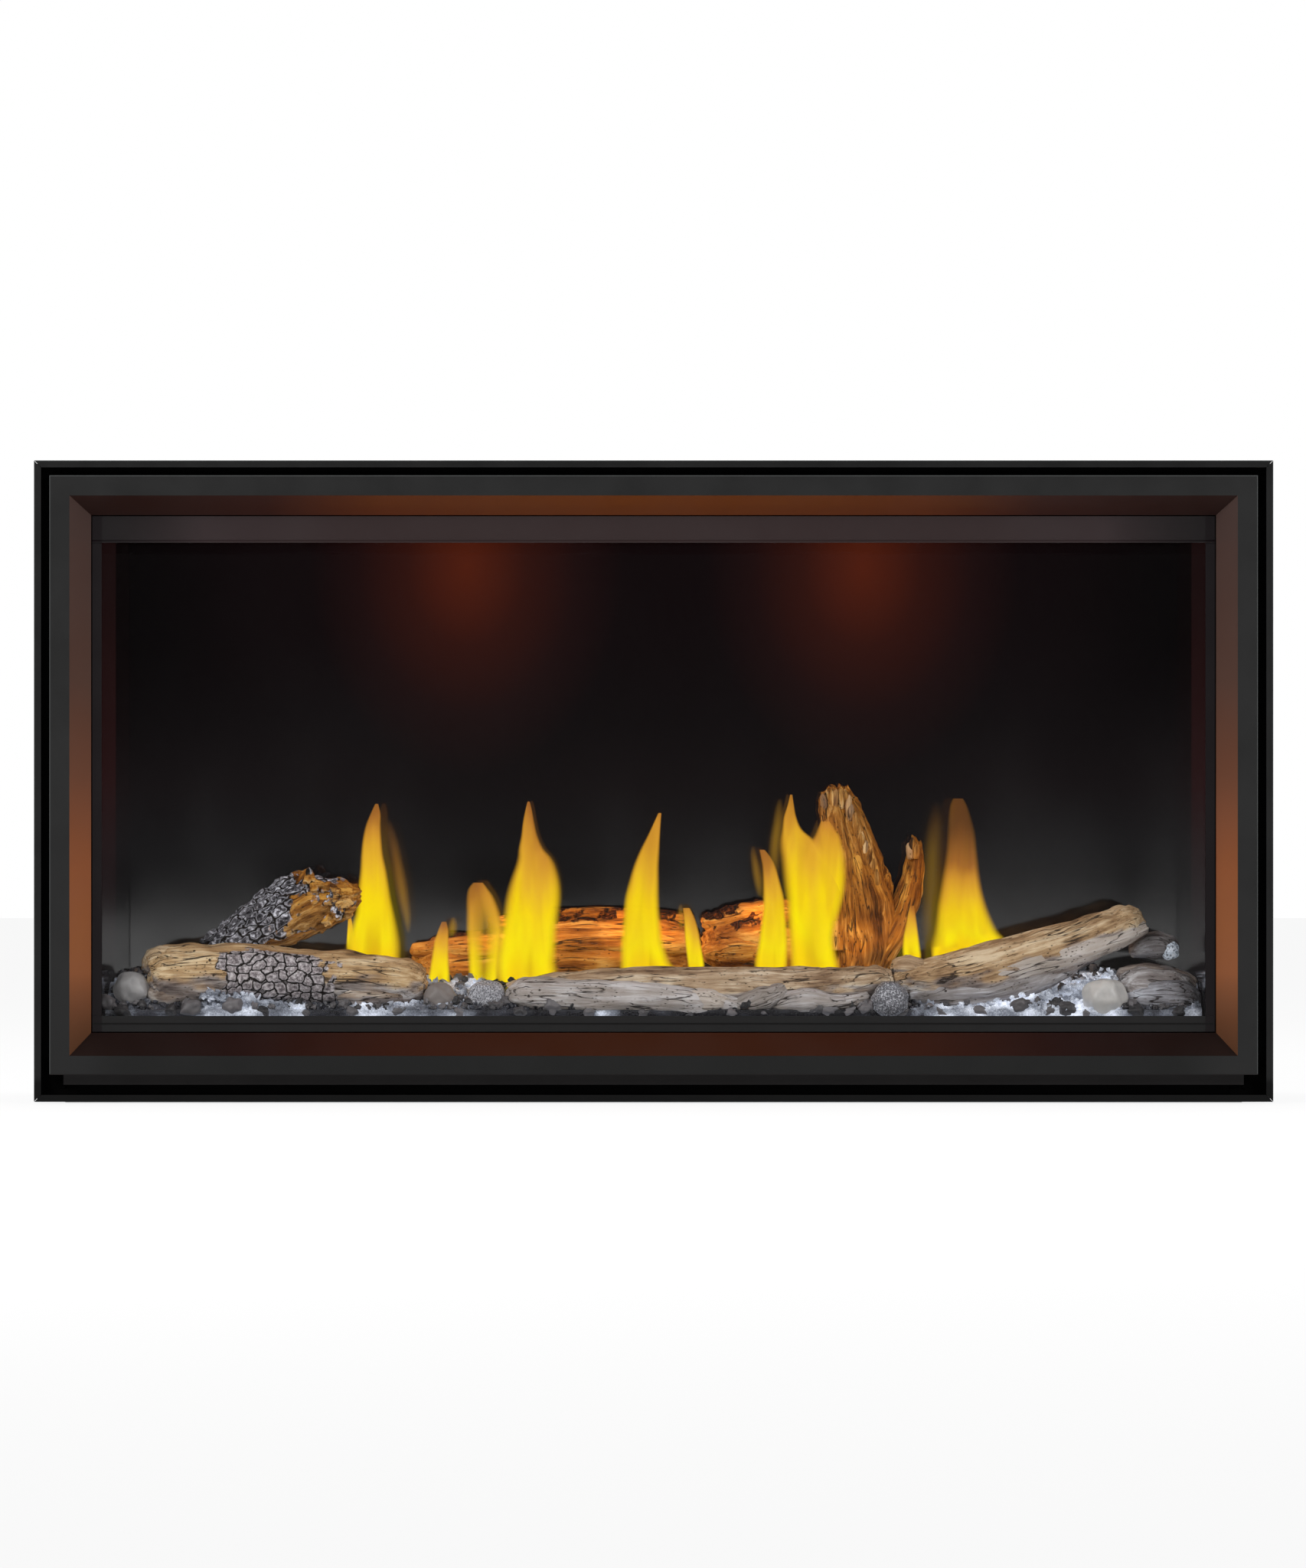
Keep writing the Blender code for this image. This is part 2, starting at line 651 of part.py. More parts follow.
def glass_door(frame_look, glass_look, gasket_look):
    wall_back = DOOR_FRONT + DOOR_DEPTH
    flange_back = DOOR_FRONT + SHEET
    across = (-DOOR_HALF, DOOR_HALF)
    top_outline = (
        (DOOR_FRONT, DOOR_TOP),
        (DOOR_FRONT, VIEW_TOP + BEAD_HEIGHT),
        (DOOR_FRONT - BEAD_PROUD, VIEW_TOP + BEAD_HEIGHT - BEAD_PROUD),
        (DOOR_FRONT - BEAD_PROUD, VIEW_TOP),
        (flange_back, VIEW_TOP),
        (flange_back, DOOR_TOP - SHEET),
        (wall_back, DOOR_TOP - SHEET),
        (wall_back, DOOR_TOP),
    )
    prism("glass_rail_top", top_outline, "X", across, frame_look)
    middle = DOOR_BOTTOM + BOTTOM_RAIL_WIDTH / 2
    bottom_outline = (
        (DOOR_FRONT, DOOR_BOTTOM),
        (wall_back, DOOR_BOTTOM),
        (wall_back, DOOR_BOTTOM + SHEET),
        (flange_back, DOOR_BOTTOM + SHEET),
        (flange_back, VIEW_BOTTOM),
        (DOOR_FRONT, VIEW_BOTTOM),
        (DOOR_FRONT, middle + GROOVE_HEIGHT / 2),
        (DOOR_FRONT + GROOVE_DEPTH, middle + GROOVE_HEIGHT / 2),
        (DOOR_FRONT + GROOVE_DEPTH, middle - GROOVE_HEIGHT / 2),
        (DOOR_FRONT, middle - GROOVE_HEIGHT / 2),
    )
    prism("glass_rail_bottom", bottom_outline, "X", across, frame_look)
    for name, sign in (("glass_stile_left", -1), ("glass_stile_right", 1)):
        outline = (
            (sign * VIEW_HALF, DOOR_FRONT),
            (sign * DOOR_HALF, DOOR_FRONT),
            (sign * DOOR_HALF, wall_back),
            (sign * (DOOR_HALF - SHEET), wall_back),
            (sign * (DOOR_HALF - SHEET), flange_back),
            (sign * VIEW_HALF, flange_back),
        )
        prism(name, outline, "Z", (VIEW_BOTTOM + GAP, VIEW_TOP - GAP), frame_look)
    block(
        "glass_pane",
        (-GLASS_HALF, GLASS_HALF),
        (GLASS_FRONT, GLASS_BACK),
        (GLASS_BOTTOM, GLASS_TOP),
        glass_look,
    )
    bounds = {"left": -GLASS_HALF, "right": GLASS_HALF, "bottom": GLASS_BOTTOM, "top": GLASS_TOP}
    front = GLASS_BACK + GAP
    profile = framed_profile(
        (
            (0.0, front),
            (GASKET_WIDTH, front),
            (GASKET_WIDTH, front + GASKET_THICK),
            (0.0, front + GASKET_THICK),
        )
    )
    whole_ring("door_gasket", bounds, profile, gasket_look)


def firebox(look):
    back = FIREBOX_BACK - GAP
    flange_back = FIREBOX_FRONT + SHEET
    flange_out = CASING_HALF - SHEET - GAP
    up = (COMPARTMENT_FLOOR, CASING_TOP - SHEET - GAP)
    for name, sign in (("firebox_left", -1), ("firebox_right", 1)):
        outline = (
            (sign * FIREBOX_IN, FIREBOX_FRONT),
            (sign * flange_out, FIREBOX_FRONT),
            (sign * flange_out, flange_back),
            (sign * (FIREBOX_IN + SHEET), flange_back),
            (sign * (FIREBOX_IN + SHEET), back),
            (sign * FIREBOX_IN, back),
        )
        prism(name, outline, "Z", up, look)
    across = (-FIREBOX_IN + GAP, FIREBOX_IN - GAP)
    floor_outline = (
        (FIREBOX_FRONT, FLOOR_BOTTOM - FLOOR_FLANGE_DOWN),
        (flange_back, FLOOR_BOTTOM - FLOOR_FLANGE_DOWN),
        (flange_back, FLOOR_BOTTOM),
        (back, FLOOR_BOTTOM),
        (back, FLOOR_TOP),
        (flange_back, FLOOR_TOP),
        (flange_back, FLOOR_TOP + FLOOR_FLANGE_UP),
        (FIREBOX_FRONT, FLOOR_TOP + FLOOR_FLANGE_UP),
    )
    floor = prism("firebox_floor", floor_outline, "X", across, look)
    hole = rod(
        "orifice_hole",
        ORIFICE_RADIUS + GAP,
        THROUGH_SHEET,
        (ORIFICE_X, at_depth(BURNER_MIDDLE), FLOOR_BOTTOM),
        (0, 0, 1),
        24,
        None,
    )
    cut(floor, hole)
    top_outline = (
        (FIREBOX_FRONT, VIEW_TOP + TOP_FLANGE_ABOVE_VIEW),
        (flange_back, VIEW_TOP + TOP_FLANGE_ABOVE_VIEW),
        (flange_back, FIREBOX_CEILING),
        (back, FIREBOX_CEILING),
        (back, FIREBOX_CEILING + SHEET),
        (flange_back, FIREBOX_CEILING + SHEET),
        (flange_back, up[1]),
        (FIREBOX_FRONT, up[1]),
    )
    top = prism("firebox_top", top_outline, "X", across, look)
    relief_openings(top)
    plate = block(
        "firebox_back",
        (-FIREBOX_IN - SHEET, FIREBOX_IN + SHEET),
        (FIREBOX_BACK, FIREBOX_BACK + SHEET),
        (FLOOR_BOTTOM, FIREBOX_CEILING + SHEET),
        look,
    )
    cut(plate, vent_cutter("exhaust_hole", EXHAUST_RADIUS + GAP, FIREBOX_BACK))


def vent_cutter(name, radius, depth):
    centre = (0, at_depth(depth), VENT_HEIGHT)
    return rod(name, radius, THROUGH_SHEET, centre, (0, 1, 0), COLLAR_SIDES, None)


def relief_openings(top):
    """Two holes in the firebox top, each with a pair of hinge ears behind it."""
    surface = FIREBOX_CEILING + SHEET
    axis_depth = FLAP_DEPTH + FLAP_REACH / 2
    axis_height = surface + GAP + HINGE_RADIUS
    for side, sign in (("left", -1), ("right", 1)):
        middle = sign * FLAP_SPREAD
        reach = FLAP_LENGTH / 2 - FLAP_LAP
        deep = FLAP_REACH / 2 - FLAP_LAP
        hole = block(
            "relief_hole_" + side,
            (middle - reach, middle + reach),
            (FLAP_DEPTH - deep, FLAP_DEPTH + deep),
            (FIREBOX_CEILING - CUT_OVERRUN, surface + CUT_OVERRUN),
            None,
        )
        cut(top, hole)
        for end, way in (("a", -1), ("b", 1)):
            inner = middle + way * (FLAP_LENGTH / 2 + GAP)
            outer = inner + way * HINGE_EAR_WIDTH
            ear = block(
                "hinge_ear_" + side + end,
                (min(inner, outer), max(inner, outer)),
                (axis_depth - HINGE_EAR_REACH / 2, axis_depth + HINGE_EAR_REACH / 2),
                (surface - SHEET / 2, axis_height + HINGE_RADIUS),
                None,
            )
            unite(top, ear)
        reach = FLAP_LENGTH / 2 + HINGE_EAR_WIDTH + CUT_OVERRUN
        pin_hole = rod(
            "hinge_hole_" + side,
            HINGE_PIN_RADIUS + HINGE_PIN_CLEARANCE,
            (-reach, reach),
            (middle, at_depth(axis_depth), axis_height),
            (1, 0, 0),
            12,
            None,
        )
        cut(top, pin_hole)


def relief_flaps(look):
    """A plate on a rolled knuckle whose pin ends turn in the ears of the firebox top."""
    surface = FIREBOX_CEILING + SHEET
    axis_depth = FLAP_DEPTH + FLAP_REACH / 2
    axis_height = surface + GAP + HINGE_RADIUS
    for side, sign in (("left", -1), ("right", 1)):
        middle = sign * FLAP_SPREAD
        reach = FLAP_LENGTH / 2
        pin = reach + GAP + HINGE_EAR_WIDTH
        knuckle = turned(
            "relief_flap_" + side,
            (
                (0, -pin),
                (HINGE_PIN_RADIUS, -pin),
                (HINGE_PIN_RADIUS, -reach),
                (HINGE_RADIUS, -reach),
                (HINGE_RADIUS, reach),
                (HINGE_PIN_RADIUS, reach),
                (HINGE_PIN_RADIUS, pin),
                (0, pin),
            ),
            (0, 0, 0),
            (1, 0, 0),
            12,
            look,
        )
        knuckle.location = (middle, at_depth(axis_depth), axis_height)
        plate = block(
            "flap_plate_" + side,
            (middle - reach, middle + reach),
            (FLAP_DEPTH - FLAP_REACH / 2, axis_depth),
            (surface + GAP, surface + GAP + SHEET),
            None,
        )
        unite(knuckle, plate)


def liners(look):
    up = (FLOOR_TOP + GAP, FIREBOX_CEILING - GAP)
    deep = (FIREBOX_FRONT + SHEET + GAP, LINER_BACK_FRONT - GAP)
    for name, sign in (("liner_left", -1), ("liner_right", 1)):
        edges = sorted((sign * LINER_IN, sign * (LINER_IN + LINER_THICK)))
        block(name, edges, deep, up, look)
    block(
        "liner_back",
        (-LINER_IN - LINER_THICK, LINER_IN + LINER_THICK),
        (LINER_BACK_FRONT, LINER_BACK_FRONT + LINER_THICK),
        (FLOOR_TOP + GAP, VIEW_TOP + LINER_TOP_ABOVE_VIEW),
        look,
    )


def casing(look, rail_look):
    deep = (CASING_FRONT, CASING_BACK - GAP)
    wide = (-CASING_HALF, CASING_HALF)
    block("casing_bottom", wide, deep, (CASING_BOTTOM, CASING_BOTTOM + SHEET), look)
    top = block("casing_top", wide, deep, (CASING_TOP - SHEET, CASING_TOP), look)
    for name, sign in (("standoff_left", -1), ("standoff_right", 1)):
        middle = sign * (CASING_HALF - STANDOFF_SIDE_INSET)
        unite(top, standoff(name, middle, look))
    for name, sign in (("casing_left", -1), ("casing_right", 1)):
        edges = sorted((sign * (CASING_HALF - SHEET), sign * CASING_HALF))
        block(name, edges, deep, (COMPARTMENT_FLOOR, CASING_TOP - SHEET - GAP), look)
    back = block(
        "casing_back", wide, (CASING_BACK, CASING_BACK + SHEET), (CASING_BOTTOM, CASING_TOP), look
    )
    cut(back, vent_cutter("intake_hole", INTAKE_RADIUS + GAP, CASING_BACK))
    rear = CASING_BACK - BASE_RAIL_SETBACK - BASE_RAIL_WIDTH
    for name, front in (("base_rail_front", CASING_FRONT + BASE_RAIL_SETBACK), ("base_rail_rear", rear)):
        base_rail(name, front, rail_look)


def standoff(name, middle, look):
    """A hat-section spacer running from front to back on the casing top."""
    half = STANDOFF_WIDTH / 2
    foot = half + STANDOFF_FOOT
    low = CASING_TOP - SHEET / 2
    seat = CASING_TOP + SHEET
    high = CASING_TOP + STANDOFF_HEIGHT
    outline = (
        (middle - foot, low),
        (middle - half + SHEET, low),
        (middle - half + SHEET, high - SHEET),
        (middle + half - SHEET, high - SHEET),
        (middle + half - SHEET, low),
        (middle + foot, low),
        (middle + foot, seat),
        (middle + half, seat),
        (middle + half, high),
        (middle - half, high),
        (middle - half, seat),
        (middle - foot, seat),
    )
    deep = (CASING_FRONT + STANDOFF_END_INSET, CASING_BACK - STANDOFF_END_INSET)
    return prism(name, outline, "Y", deep, look)


def base_rail(name, front, look):
    """An upturned channel under the casing floor."""
    top = CASING_BOTTOM - GAP
    back = front + BASE_RAIL_WIDTH
    outline = (
        (front, 0.0),
        (front + SHEET, 0.0),
        (front + SHEET, top - SHEET),
        (back - SHEET, top - SHEET),
        (back - SHEET, 0.0),
        (back, 0.0),
        (back, top),
        (front, top),
    )
    reach = CASING_HALF - BASE_RAIL_END_INSET
    prism(name, outline, "X", (-reach, reach), look)


def vent_collar(name, radius, plate_back, look):
    """A tube through a plate, with a flange on the plate's back face."""
    start = plate_back - SHEET - COLLAR_INSIDE
    seat = plate_back + GAP
    profile = (
        (radius - COLLAR_WALL, start),
        (radius, start),
        (radius, seat),
        (radius + COLLAR_FLANGE, seat),
        (radius + COLLAR_FLANGE, seat + SHEET),
        (radius, seat + SHEET),
        (radius, OVERALL_DEPTH),
        (radius - COLLAR_WALL, OVERALL_DEPTH),
    )
    centre = (0, at_depth(0.0), VENT_HEIGHT)
    turned(name, profile, centre, (0, 1, 0), COLLAR_SIDES, look, closed=True)


def accent_lamps(look):
    top = FIREBOX_CEILING - GAP
    low = top - LAMP_HEIGHT
    profile = (
        (0, top),
        (LAMP_RADIUS, top),
        (LAMP_RADIUS, low),
        (LAMP_RADIUS - LAMP_RIM, low),
        (LAMP_RADIUS - LAMP_RIM, low + LAMP_RECESS),
        (0, low + LAMP_RECESS),
    )
    for name, sign in (("top_light_left", -1), ("top_light_right", 1)):
        centre = (sign * LAMP_SPREAD + LAMP_SHIFT, at_depth(LAMP_DEPTH), 0)
        turned(name, profile, centre, (0, 0, 1), 24, look)


def tray_line(lift):
    """Depths and heights along the top of the media tray, raised by lift."""
    return [
        (BED_FRONT, FLOOR_TOP + TRAY_FRONT_RISE + lift),
        (TRAY_SLOPE_END, FLOOR_TOP + TRAY_DECK_RISE + lift),
        (TRAY_DECK_END, FLOOR_TOP + TRAY_DECK_RISE + lift),
        (BED_BACK, FLOOR_TOP + TRAY_BACK_RISE + lift),
    ]


def media_bed(tray_look, ember_look, strip_look):
    foot = FLOOR_TOP + GAP
    across = (-BED_HALF, BED_HALF)
    over = tray_line(0.0)
    under = [(depth, height - SHEET) for depth, height in over]
    under[0] = (BED_FRONT + SHEET, under[0][1])
    under[-1] = (BED_BACK - SHEET, under[-1][1])
    outline = [(BED_FRONT, foot), *over, (BED_BACK, foot), (BED_BACK - SHEET, foot)]
    outline += list(reversed(under))
    outline.append((BED_FRONT + SHEET, foot))
    tray = prism("burner_tray", outline, "X", across, tray_look)
    embers_outline = tray_line(GAP) + list(reversed(tray_line(EMBER_THICK)))
    embers = prism("ember_bed", embers_outline, "X", across, ember_look)
    half = PILOT_HOLE / 2
    half_deep = PILOT_PLATE_WIDTH / 2 + CUT_OVERRUN
    hole_top = FLOOR_TOP + TRAY_BACK_RISE + EMBER_THICK + CUT_OVERRUN
    for part, name in ((tray, "pilot_hole_tray"), (embers, "pilot_hole_embers")):
        hole = block(
            name,
            (PILOT_X - half, PILOT_X + half),
            (PILOT_DEPTH - half_deep, PILOT_DEPTH + half_deep),
            (FLOOR_TOP + CUT_OVERRUN, hole_top),
            None,
        )
        cut(part, hole)
    strip_front = BED_FRONT - GAP - STRIP_DEPTH
    block(
        "led_strip",
        (-BED_HALF + STRIP_END_INSET, BED_HALF - STRIP_END_INSET),
        (strip_front, strip_front + STRIP_DEPTH),
        (foot, foot + STRIP_HEIGHT),
        strip_look,
    )


def burner(burner_look, brass_look):
    """The burner box with its venturi, the turning air shutter and the orifice that feeds it."""
    foot = FLOOR_TOP + GAP
    axis_height = FLOOR_TOP + VENTURI_HEIGHT
    mouth_place = (BURNER_MOUTH, at_depth(BURNER_MIDDLE), axis_height)
    tube = block(
        "burner_tube",
        (-BURNER_LEFT, BURNER_RIGHT),
        (BURNER_FRONT, BURNER_FRONT + BURNER_WIDTH),
        (foot, foot + BURNER_HEIGHT),
        burner_look,
    )
    spans = (0, VENTURI_LENGTH + CUT_OVERRUN)
    unite(tube, rod("venturi", VENTURI_RADIUS, spans, mouth_place, (1, 0, 0), 24, None))
    spans = (-CUT_OVERRUN, VENTURI_BORE_LENGTH)
    cut(tube, rod("venturi_bore", VENTURI_BORE, spans, mouth_place, (1, 0, 0), 24, None))

    inner = VENTURI_RADIUS + SHUTTER_CLEARANCE
    outer = inner + SHUTTER_WALL
    start = SHUTTER_END_INSET
    end = SHUTTER_END_INSET + SHUTTER_LENGTH
    shutter = turned(
        "air_shutter",
        ((inner, start), (outer, start), (outer, end), (inner, end)),
        (0, 0, 0),
        (1, 0, 0),
        24,
        brass_look,
        closed=True,
    )
    shutter.location = mouth_place
    tab_start = BURNER_MOUTH + start + SHUTTER_WALL
    tab = block(
        "shutter_tab",
        (tab_start, tab_start + SHUTTER_TAB_WIDTH),
        (BURNER_MIDDLE - outer - SHUTTER_TAB_REACH, BURNER_MIDDLE - inner - SHUTTER_WALL / 2),
        (axis_height - SHUTTER_WALL / 2, axis_height + SHUTTER_WALL / 2),
        None,
    )
    unite(shutter, tab)

    orifice = turned(
        "orifice_fitting",
        (
            (0, FLOOR_BOTTOM - ORIFICE_STEM_BELOW),
            (ORIFICE_RADIUS, FLOOR_BOTTOM - ORIFICE_STEM_BELOW),
            (ORIFICE_RADIUS, foot),
            (ORIFICE_FLANGE_RADIUS, foot),
            (ORIFICE_FLANGE_RADIUS, foot + ORIFICE_FLANGE_THICK),
            (ORIFICE_RADIUS, foot + ORIFICE_FLANGE_THICK),
            (ORIFICE_RADIUS, axis_height + ORIFICE_RADIUS),
            (0, axis_height + ORIFICE_RADIUS),
        ),
        (ORIFICE_X, at_depth(BURNER_MIDDLE), 0),
        (0, 0, 1),
        24,
        brass_look,
    )
    nozzle = turned(
        "orifice_nozzle",
        (
            (0, 0),
            (ORIFICE_RADIUS - ORIFICE_TIP_RADIUS / 4, 0),
            (ORIFICE_RADIUS - ORIFICE_TIP_RADIUS / 4, ORIFICE_REACH / 2),
            (ORIFICE_TIP_RADIUS, ORIFICE_REACH / 2 + ORIFICE_TIP_LENGTH),
            (0, ORIFICE_REACH / 2 + ORIFICE_TIP_LENGTH),
        ),
        (ORIFICE_X, at_depth(BURNER_MIDDLE), axis_height),
        (1, 0, 0),
        16,
        None,
    )
    unite(orifice, nozzle)


def pilot(metal_look, ceramic_look):
    """A bracket on the firebox floor that carries the pilot hood and the spark electrode."""
    foot = FLOOR_TOP + GAP
    plate_low = FLOOR_TOP + PILOT_PLATE_HEIGHT
    left = PILOT_X - PILOT_PLATE_LENGTH / 2
    right = PILOT_X + PILOT_PLATE_LENGTH / 2
    outline = (
        (left, foot),
        (left + PILOT_LEG_WIDTH, foot),
        (left + PILOT_LEG_WIDTH, foot + SHEET),
        (left + SHEET, foot + SHEET),
        (left + SHEET, plate_low),
        (right, plate_low),
        (right, plate_low + SHEET),
        (left, plate_low + SHEET),
    )
    deep = (PILOT_DEPTH - PILOT_PLATE_WIDTH / 2, PILOT_DEPTH + PILOT_PLATE_WIDTH / 2)
    bracket = prism("pilot_assembly", outline, "Y", deep, metal_look)
    hood_x = PILOT_X - PILOT_HOOD_OFFSET
    hood = turned(
        "pilot_hood",
        (
            (0, 0),
            (PILOT_HOOD_RADIUS, 0),
            (PILOT_HOOD_RADIUS, PILOT_HOOD_HEIGHT),
            (PILOT_HOOD_BORE, PILOT_HOOD_HEIGHT),
            (PILOT_HOOD_BORE, PILOT_HOOD_HEIGHT / 2),
            (0, PILOT_HOOD_HEIGHT / 2),
        ),
        (hood_x, at_depth(PILOT_DEPTH), plate_low + SHEET / 2),
        (0, 0, 1),
        20,
        None,
    )
    unite(bracket, hood)
    electrode_x = PILOT_X + PILOT_HOOD_OFFSET
    hole = rod(
        "electrode_hole",
        ELECTRODE_RADIUS + GAP,
        THROUGH_SHEET,
        (electrode_x, at_depth(PILOT_DEPTH), plate_low),
        (0, 0, 1),
        16,
        None,
    )
    cut(bracket, hole)
    seat = plate_low + SHEET + GAP
    turned(
        "igniter_electrode",
        (
            (0, plate_low - ELECTRODE_BELOW),
            (ELECTRODE_RADIUS, plate_low - ELECTRODE_BELOW),
            (ELECTRODE_RADIUS, seat),
            (ELECTRODE_COLLAR_RADIUS, seat),
            (ELECTRODE_COLLAR_RADIUS, seat + ELECTRODE_COLLAR_HEIGHT),
            (ELECTRODE_RADIUS, seat + ELECTRODE_COLLAR_HEIGHT),
            (ELECTRODE_RADIUS, seat + ELECTRODE_ABOVE),
            (ELECTRODE_TIP_RADIUS, seat + ELECTRODE_ABOVE),
            (ELECTRODE_TIP_RADIUS, seat + ELECTRODE_ABOVE + ELECTRODE_TIP_LENGTH),
            (0, seat + ELECTRODE_ABOVE + ELECTRODE_TIP_LENGTH),
        ),
        (electrode_x, at_depth(PILOT_DEPTH), 0),
        (0, 0, 1),
        16,
        ceramic_look,
    )


def gas_train(valve_look, knob_look, brass_look, steel_look, lever_look):
    """Shut-off valve, supply pipe, control valve with its knob, and the feed to the orifice."""
    floor = COMPARTMENT_FLOOR
    body = block(
        "gas_valve",
        (VALVE_X - VALVE_LENGTH / 2, VALVE_X + VALVE_LENGTH / 2),
        (VALVE_FRONT, VALVE_FRONT + VALVE_WIDTH),
        (floor, floor + VALVE_HEIGHT),
        valve_look,
    )
    round_edges(body, VALVE_EDGE)
    head_x = VALVE_X + VALVE_LENGTH / 4
    head_foot = floor + VALVE_HEIGHT - VALVE_EDGE
    head = rod(
        "regulator_head",
        VALVE_HEAD_RADIUS,
        (0, VALVE_HEAD_HEIGHT),
        (head_x, at_depth(VALVE_FRONT + VALVE_WIDTH / 2), head_foot),
        (0, 0, 1),
        24,
        None,
    )
    unite(body, head)
    knob_x = VALVE_X - VALVE_LENGTH / 5
    knob_place = (knob_x, at_depth(VALVE_FRONT), floor + KNOB_HEIGHT)
    socket = rod(
        "knob_socket",
        KNOB_STEM_RADIUS + KNOB_STEM_CLEARANCE,
        (-CUT_OVERRUN, KNOB_STEM_LENGTH + GAP),
        knob_place,
        (0, 1, 0),
        16,
        None,
    )
    cut(body, socket)
    knob = turned(
        "valve_knob",
        (
            (0, KNOB_STEM_LENGTH),
            (KNOB_STEM_RADIUS, KNOB_STEM_LENGTH),
            (KNOB_STEM_RADIUS, -GAP),
            (KNOB_RADIUS, -GAP),
            (KNOB_RADIUS, -GAP - KNOB_SKIRT),
            (KNOB_GRIP_RADIUS, -GAP - KNOB_SKIRT),
            (KNOB_GRIP_RADIUS, -GAP - KNOB_LENGTH),
            (0, -GAP - KNOB_LENGTH),
        ),
        (0, 0, 0),
        (0, 1, 0),
        24,
        knob_look,
    )
    knob.location = knob_place
    index = block(
        "knob_index",
        (knob_x - KNOB_INDEX_WIDTH / 2, knob_x + KNOB_INDEX_WIDTH / 2),
        (VALVE_FRONT - GAP - KNOB_LENGTH - KNOB_INDEX_PROUD, VALVE_FRONT - KNOB_LENGTH / 2),
        (floor + KNOB_HEIGHT, floor + KNOB_HEIGHT + KNOB_GRIP_RADIUS),
        None,
    )
    unite(knob, index)

    pipe_height = floor + PIPE_HEIGHT
    half = SHUTOFF_LENGTH / 2
    nut = SHUTOFF_NUT_LENGTH
    shutoff = turned(
        "shutoff_valve",
        (
            (0, -half),
            (SHUTOFF_NUT_RADIUS, -half),
            (SHUTOFF_NUT_RADIUS, -half + nut),
            (SHUTOFF_RADIUS, -half + nut),
            (SHUTOFF_RADIUS, half - nut),
            (SHUTOFF_NUT_RADIUS, half - nut),
            (SHUTOFF_NUT_RADIUS, half),
            (0, half),
        ),
        (SHUTOFF_X, at_depth(PIPE_DEPTH), pipe_height),
        (1, 0, 0),
        24,
        brass_look,
    )
    stem_top = pipe_height + SHUTOFF_RADIUS + SHUTOFF_STEM_RISE
    stem = rod(
        "shutoff_stem",
        SHUTOFF_STEM_RADIUS,
        (pipe_height, stem_top),
        (SHUTOFF_X, at_depth(PIPE_DEPTH), 0),
        (0, 0, 1),
        16,
        None,
    )
    unite(shutoff, stem)
    foot = block(
        "shutoff_foot",
        (SHUTOFF_X - SHUTOFF_RADIUS / 2, SHUTOFF_X + SHUTOFF_RADIUS / 2),
        (PIPE_DEPTH - SHUTOFF_RADIUS / 2, PIPE_DEPTH + SHUTOFF_RADIUS / 2),
        (floor, pipe_height),
        None,
    )
    unite(shutoff, foot)
    hub = stem_top + GAP
    lever = rod(
        "shutoff_lever",
        LEVER_HUB_RADIUS,
        (0, LEVER_HUB_HEIGHT),
        (0, 0, 0),
        (0, 0, 1),
        24,
        lever_look,
    )
    lever.location = (SHUTOFF_X, at_depth(PIPE_DEPTH), hub)
    arm = block(
        "lever_arm",
        (SHUTOFF_X, SHUTOFF_X + LEVER_LENGTH),
        (PIPE_DEPTH - LEVER_WIDTH / 2, PIPE_DEPTH + LEVER_WIDTH / 2),
        (hub + LEVER_THICK / 2, hub + LEVER_THICK / 2 + LEVER_THICK),
        None,
    )
    unite(lever, arm)
    rod(
        "gas_supply_pipe",
        PIPE_RADIUS,
        (SHUTOFF_X + half + GAP, VALVE_X - VALVE_LENGTH / 2 - GAP),
        (0, at_depth(PIPE_DEPTH), pipe_height),
        (1, 0, 0),
        16,
        steel_look,
    )
    feed_pipe(pipe_height, steel_look)


def feed_pipe(pipe_height, look):
    """A bent tube from the back of the control valve to the foot of the orifice fitting."""
    far = BURNER_FRONT + BURNER_WIDTH
    start = Vector((VALVE_X, at_depth(VALVE_FRONT + VALVE_WIDTH + GAP), pipe_height))
    out = Vector((VALVE_X, at_depth(far), pipe_height))
    turn = Vector((ORIFICE_X, at_depth(far), pipe_height))
    under = Vector((ORIFICE_X, at_depth(BURNER_MIDDLE), pipe_height))
    stem_foot = FLOOR_BOTTOM - ORIFICE_STEM_BELOW - GAP
    end = Vector((ORIFICE_X, at_depth(BURNER_MIDDLE), stem_foot))
    route = rounded_route([start, out, turn, under, end], FEED_BEND)
    curve = bpy.data.curves.new("burner_feed_pipe", "CURVE")
    curve.dimensions = "3D"
    curve.bevel_depth = FEED_RADIUS
    curve.bevel_resolution = 3
    curve.use_fill_caps = True
    spline = curve.splines.new("POLY")
    spline.points.add(len(route) - 1)
    for point, place in zip(spline.points, route):
        point.co = (*place, 1.0)
    add_object("burner_feed_pipe", curve, None)
    curve.materials.append(look)


def rounded_route(places, radius):
    """The same corners, each replaced by an arc of five points."""
    route = [places[0]]
    for before, here, after in zip(places, places[1:], places[2:]):
        reach = min(radius, (here - before).length / 2, (after - here).length / 2)
        start = here + (before - here).normalized() * reach
        end = here + (after - here).normalized() * reach
        for step in range(5):
            share = step / 4
            route.append((1 - share) ** 2 * start + 2 * share * (1 - share) * here + share**2 * end)
    route.append(places[-1])
    return route


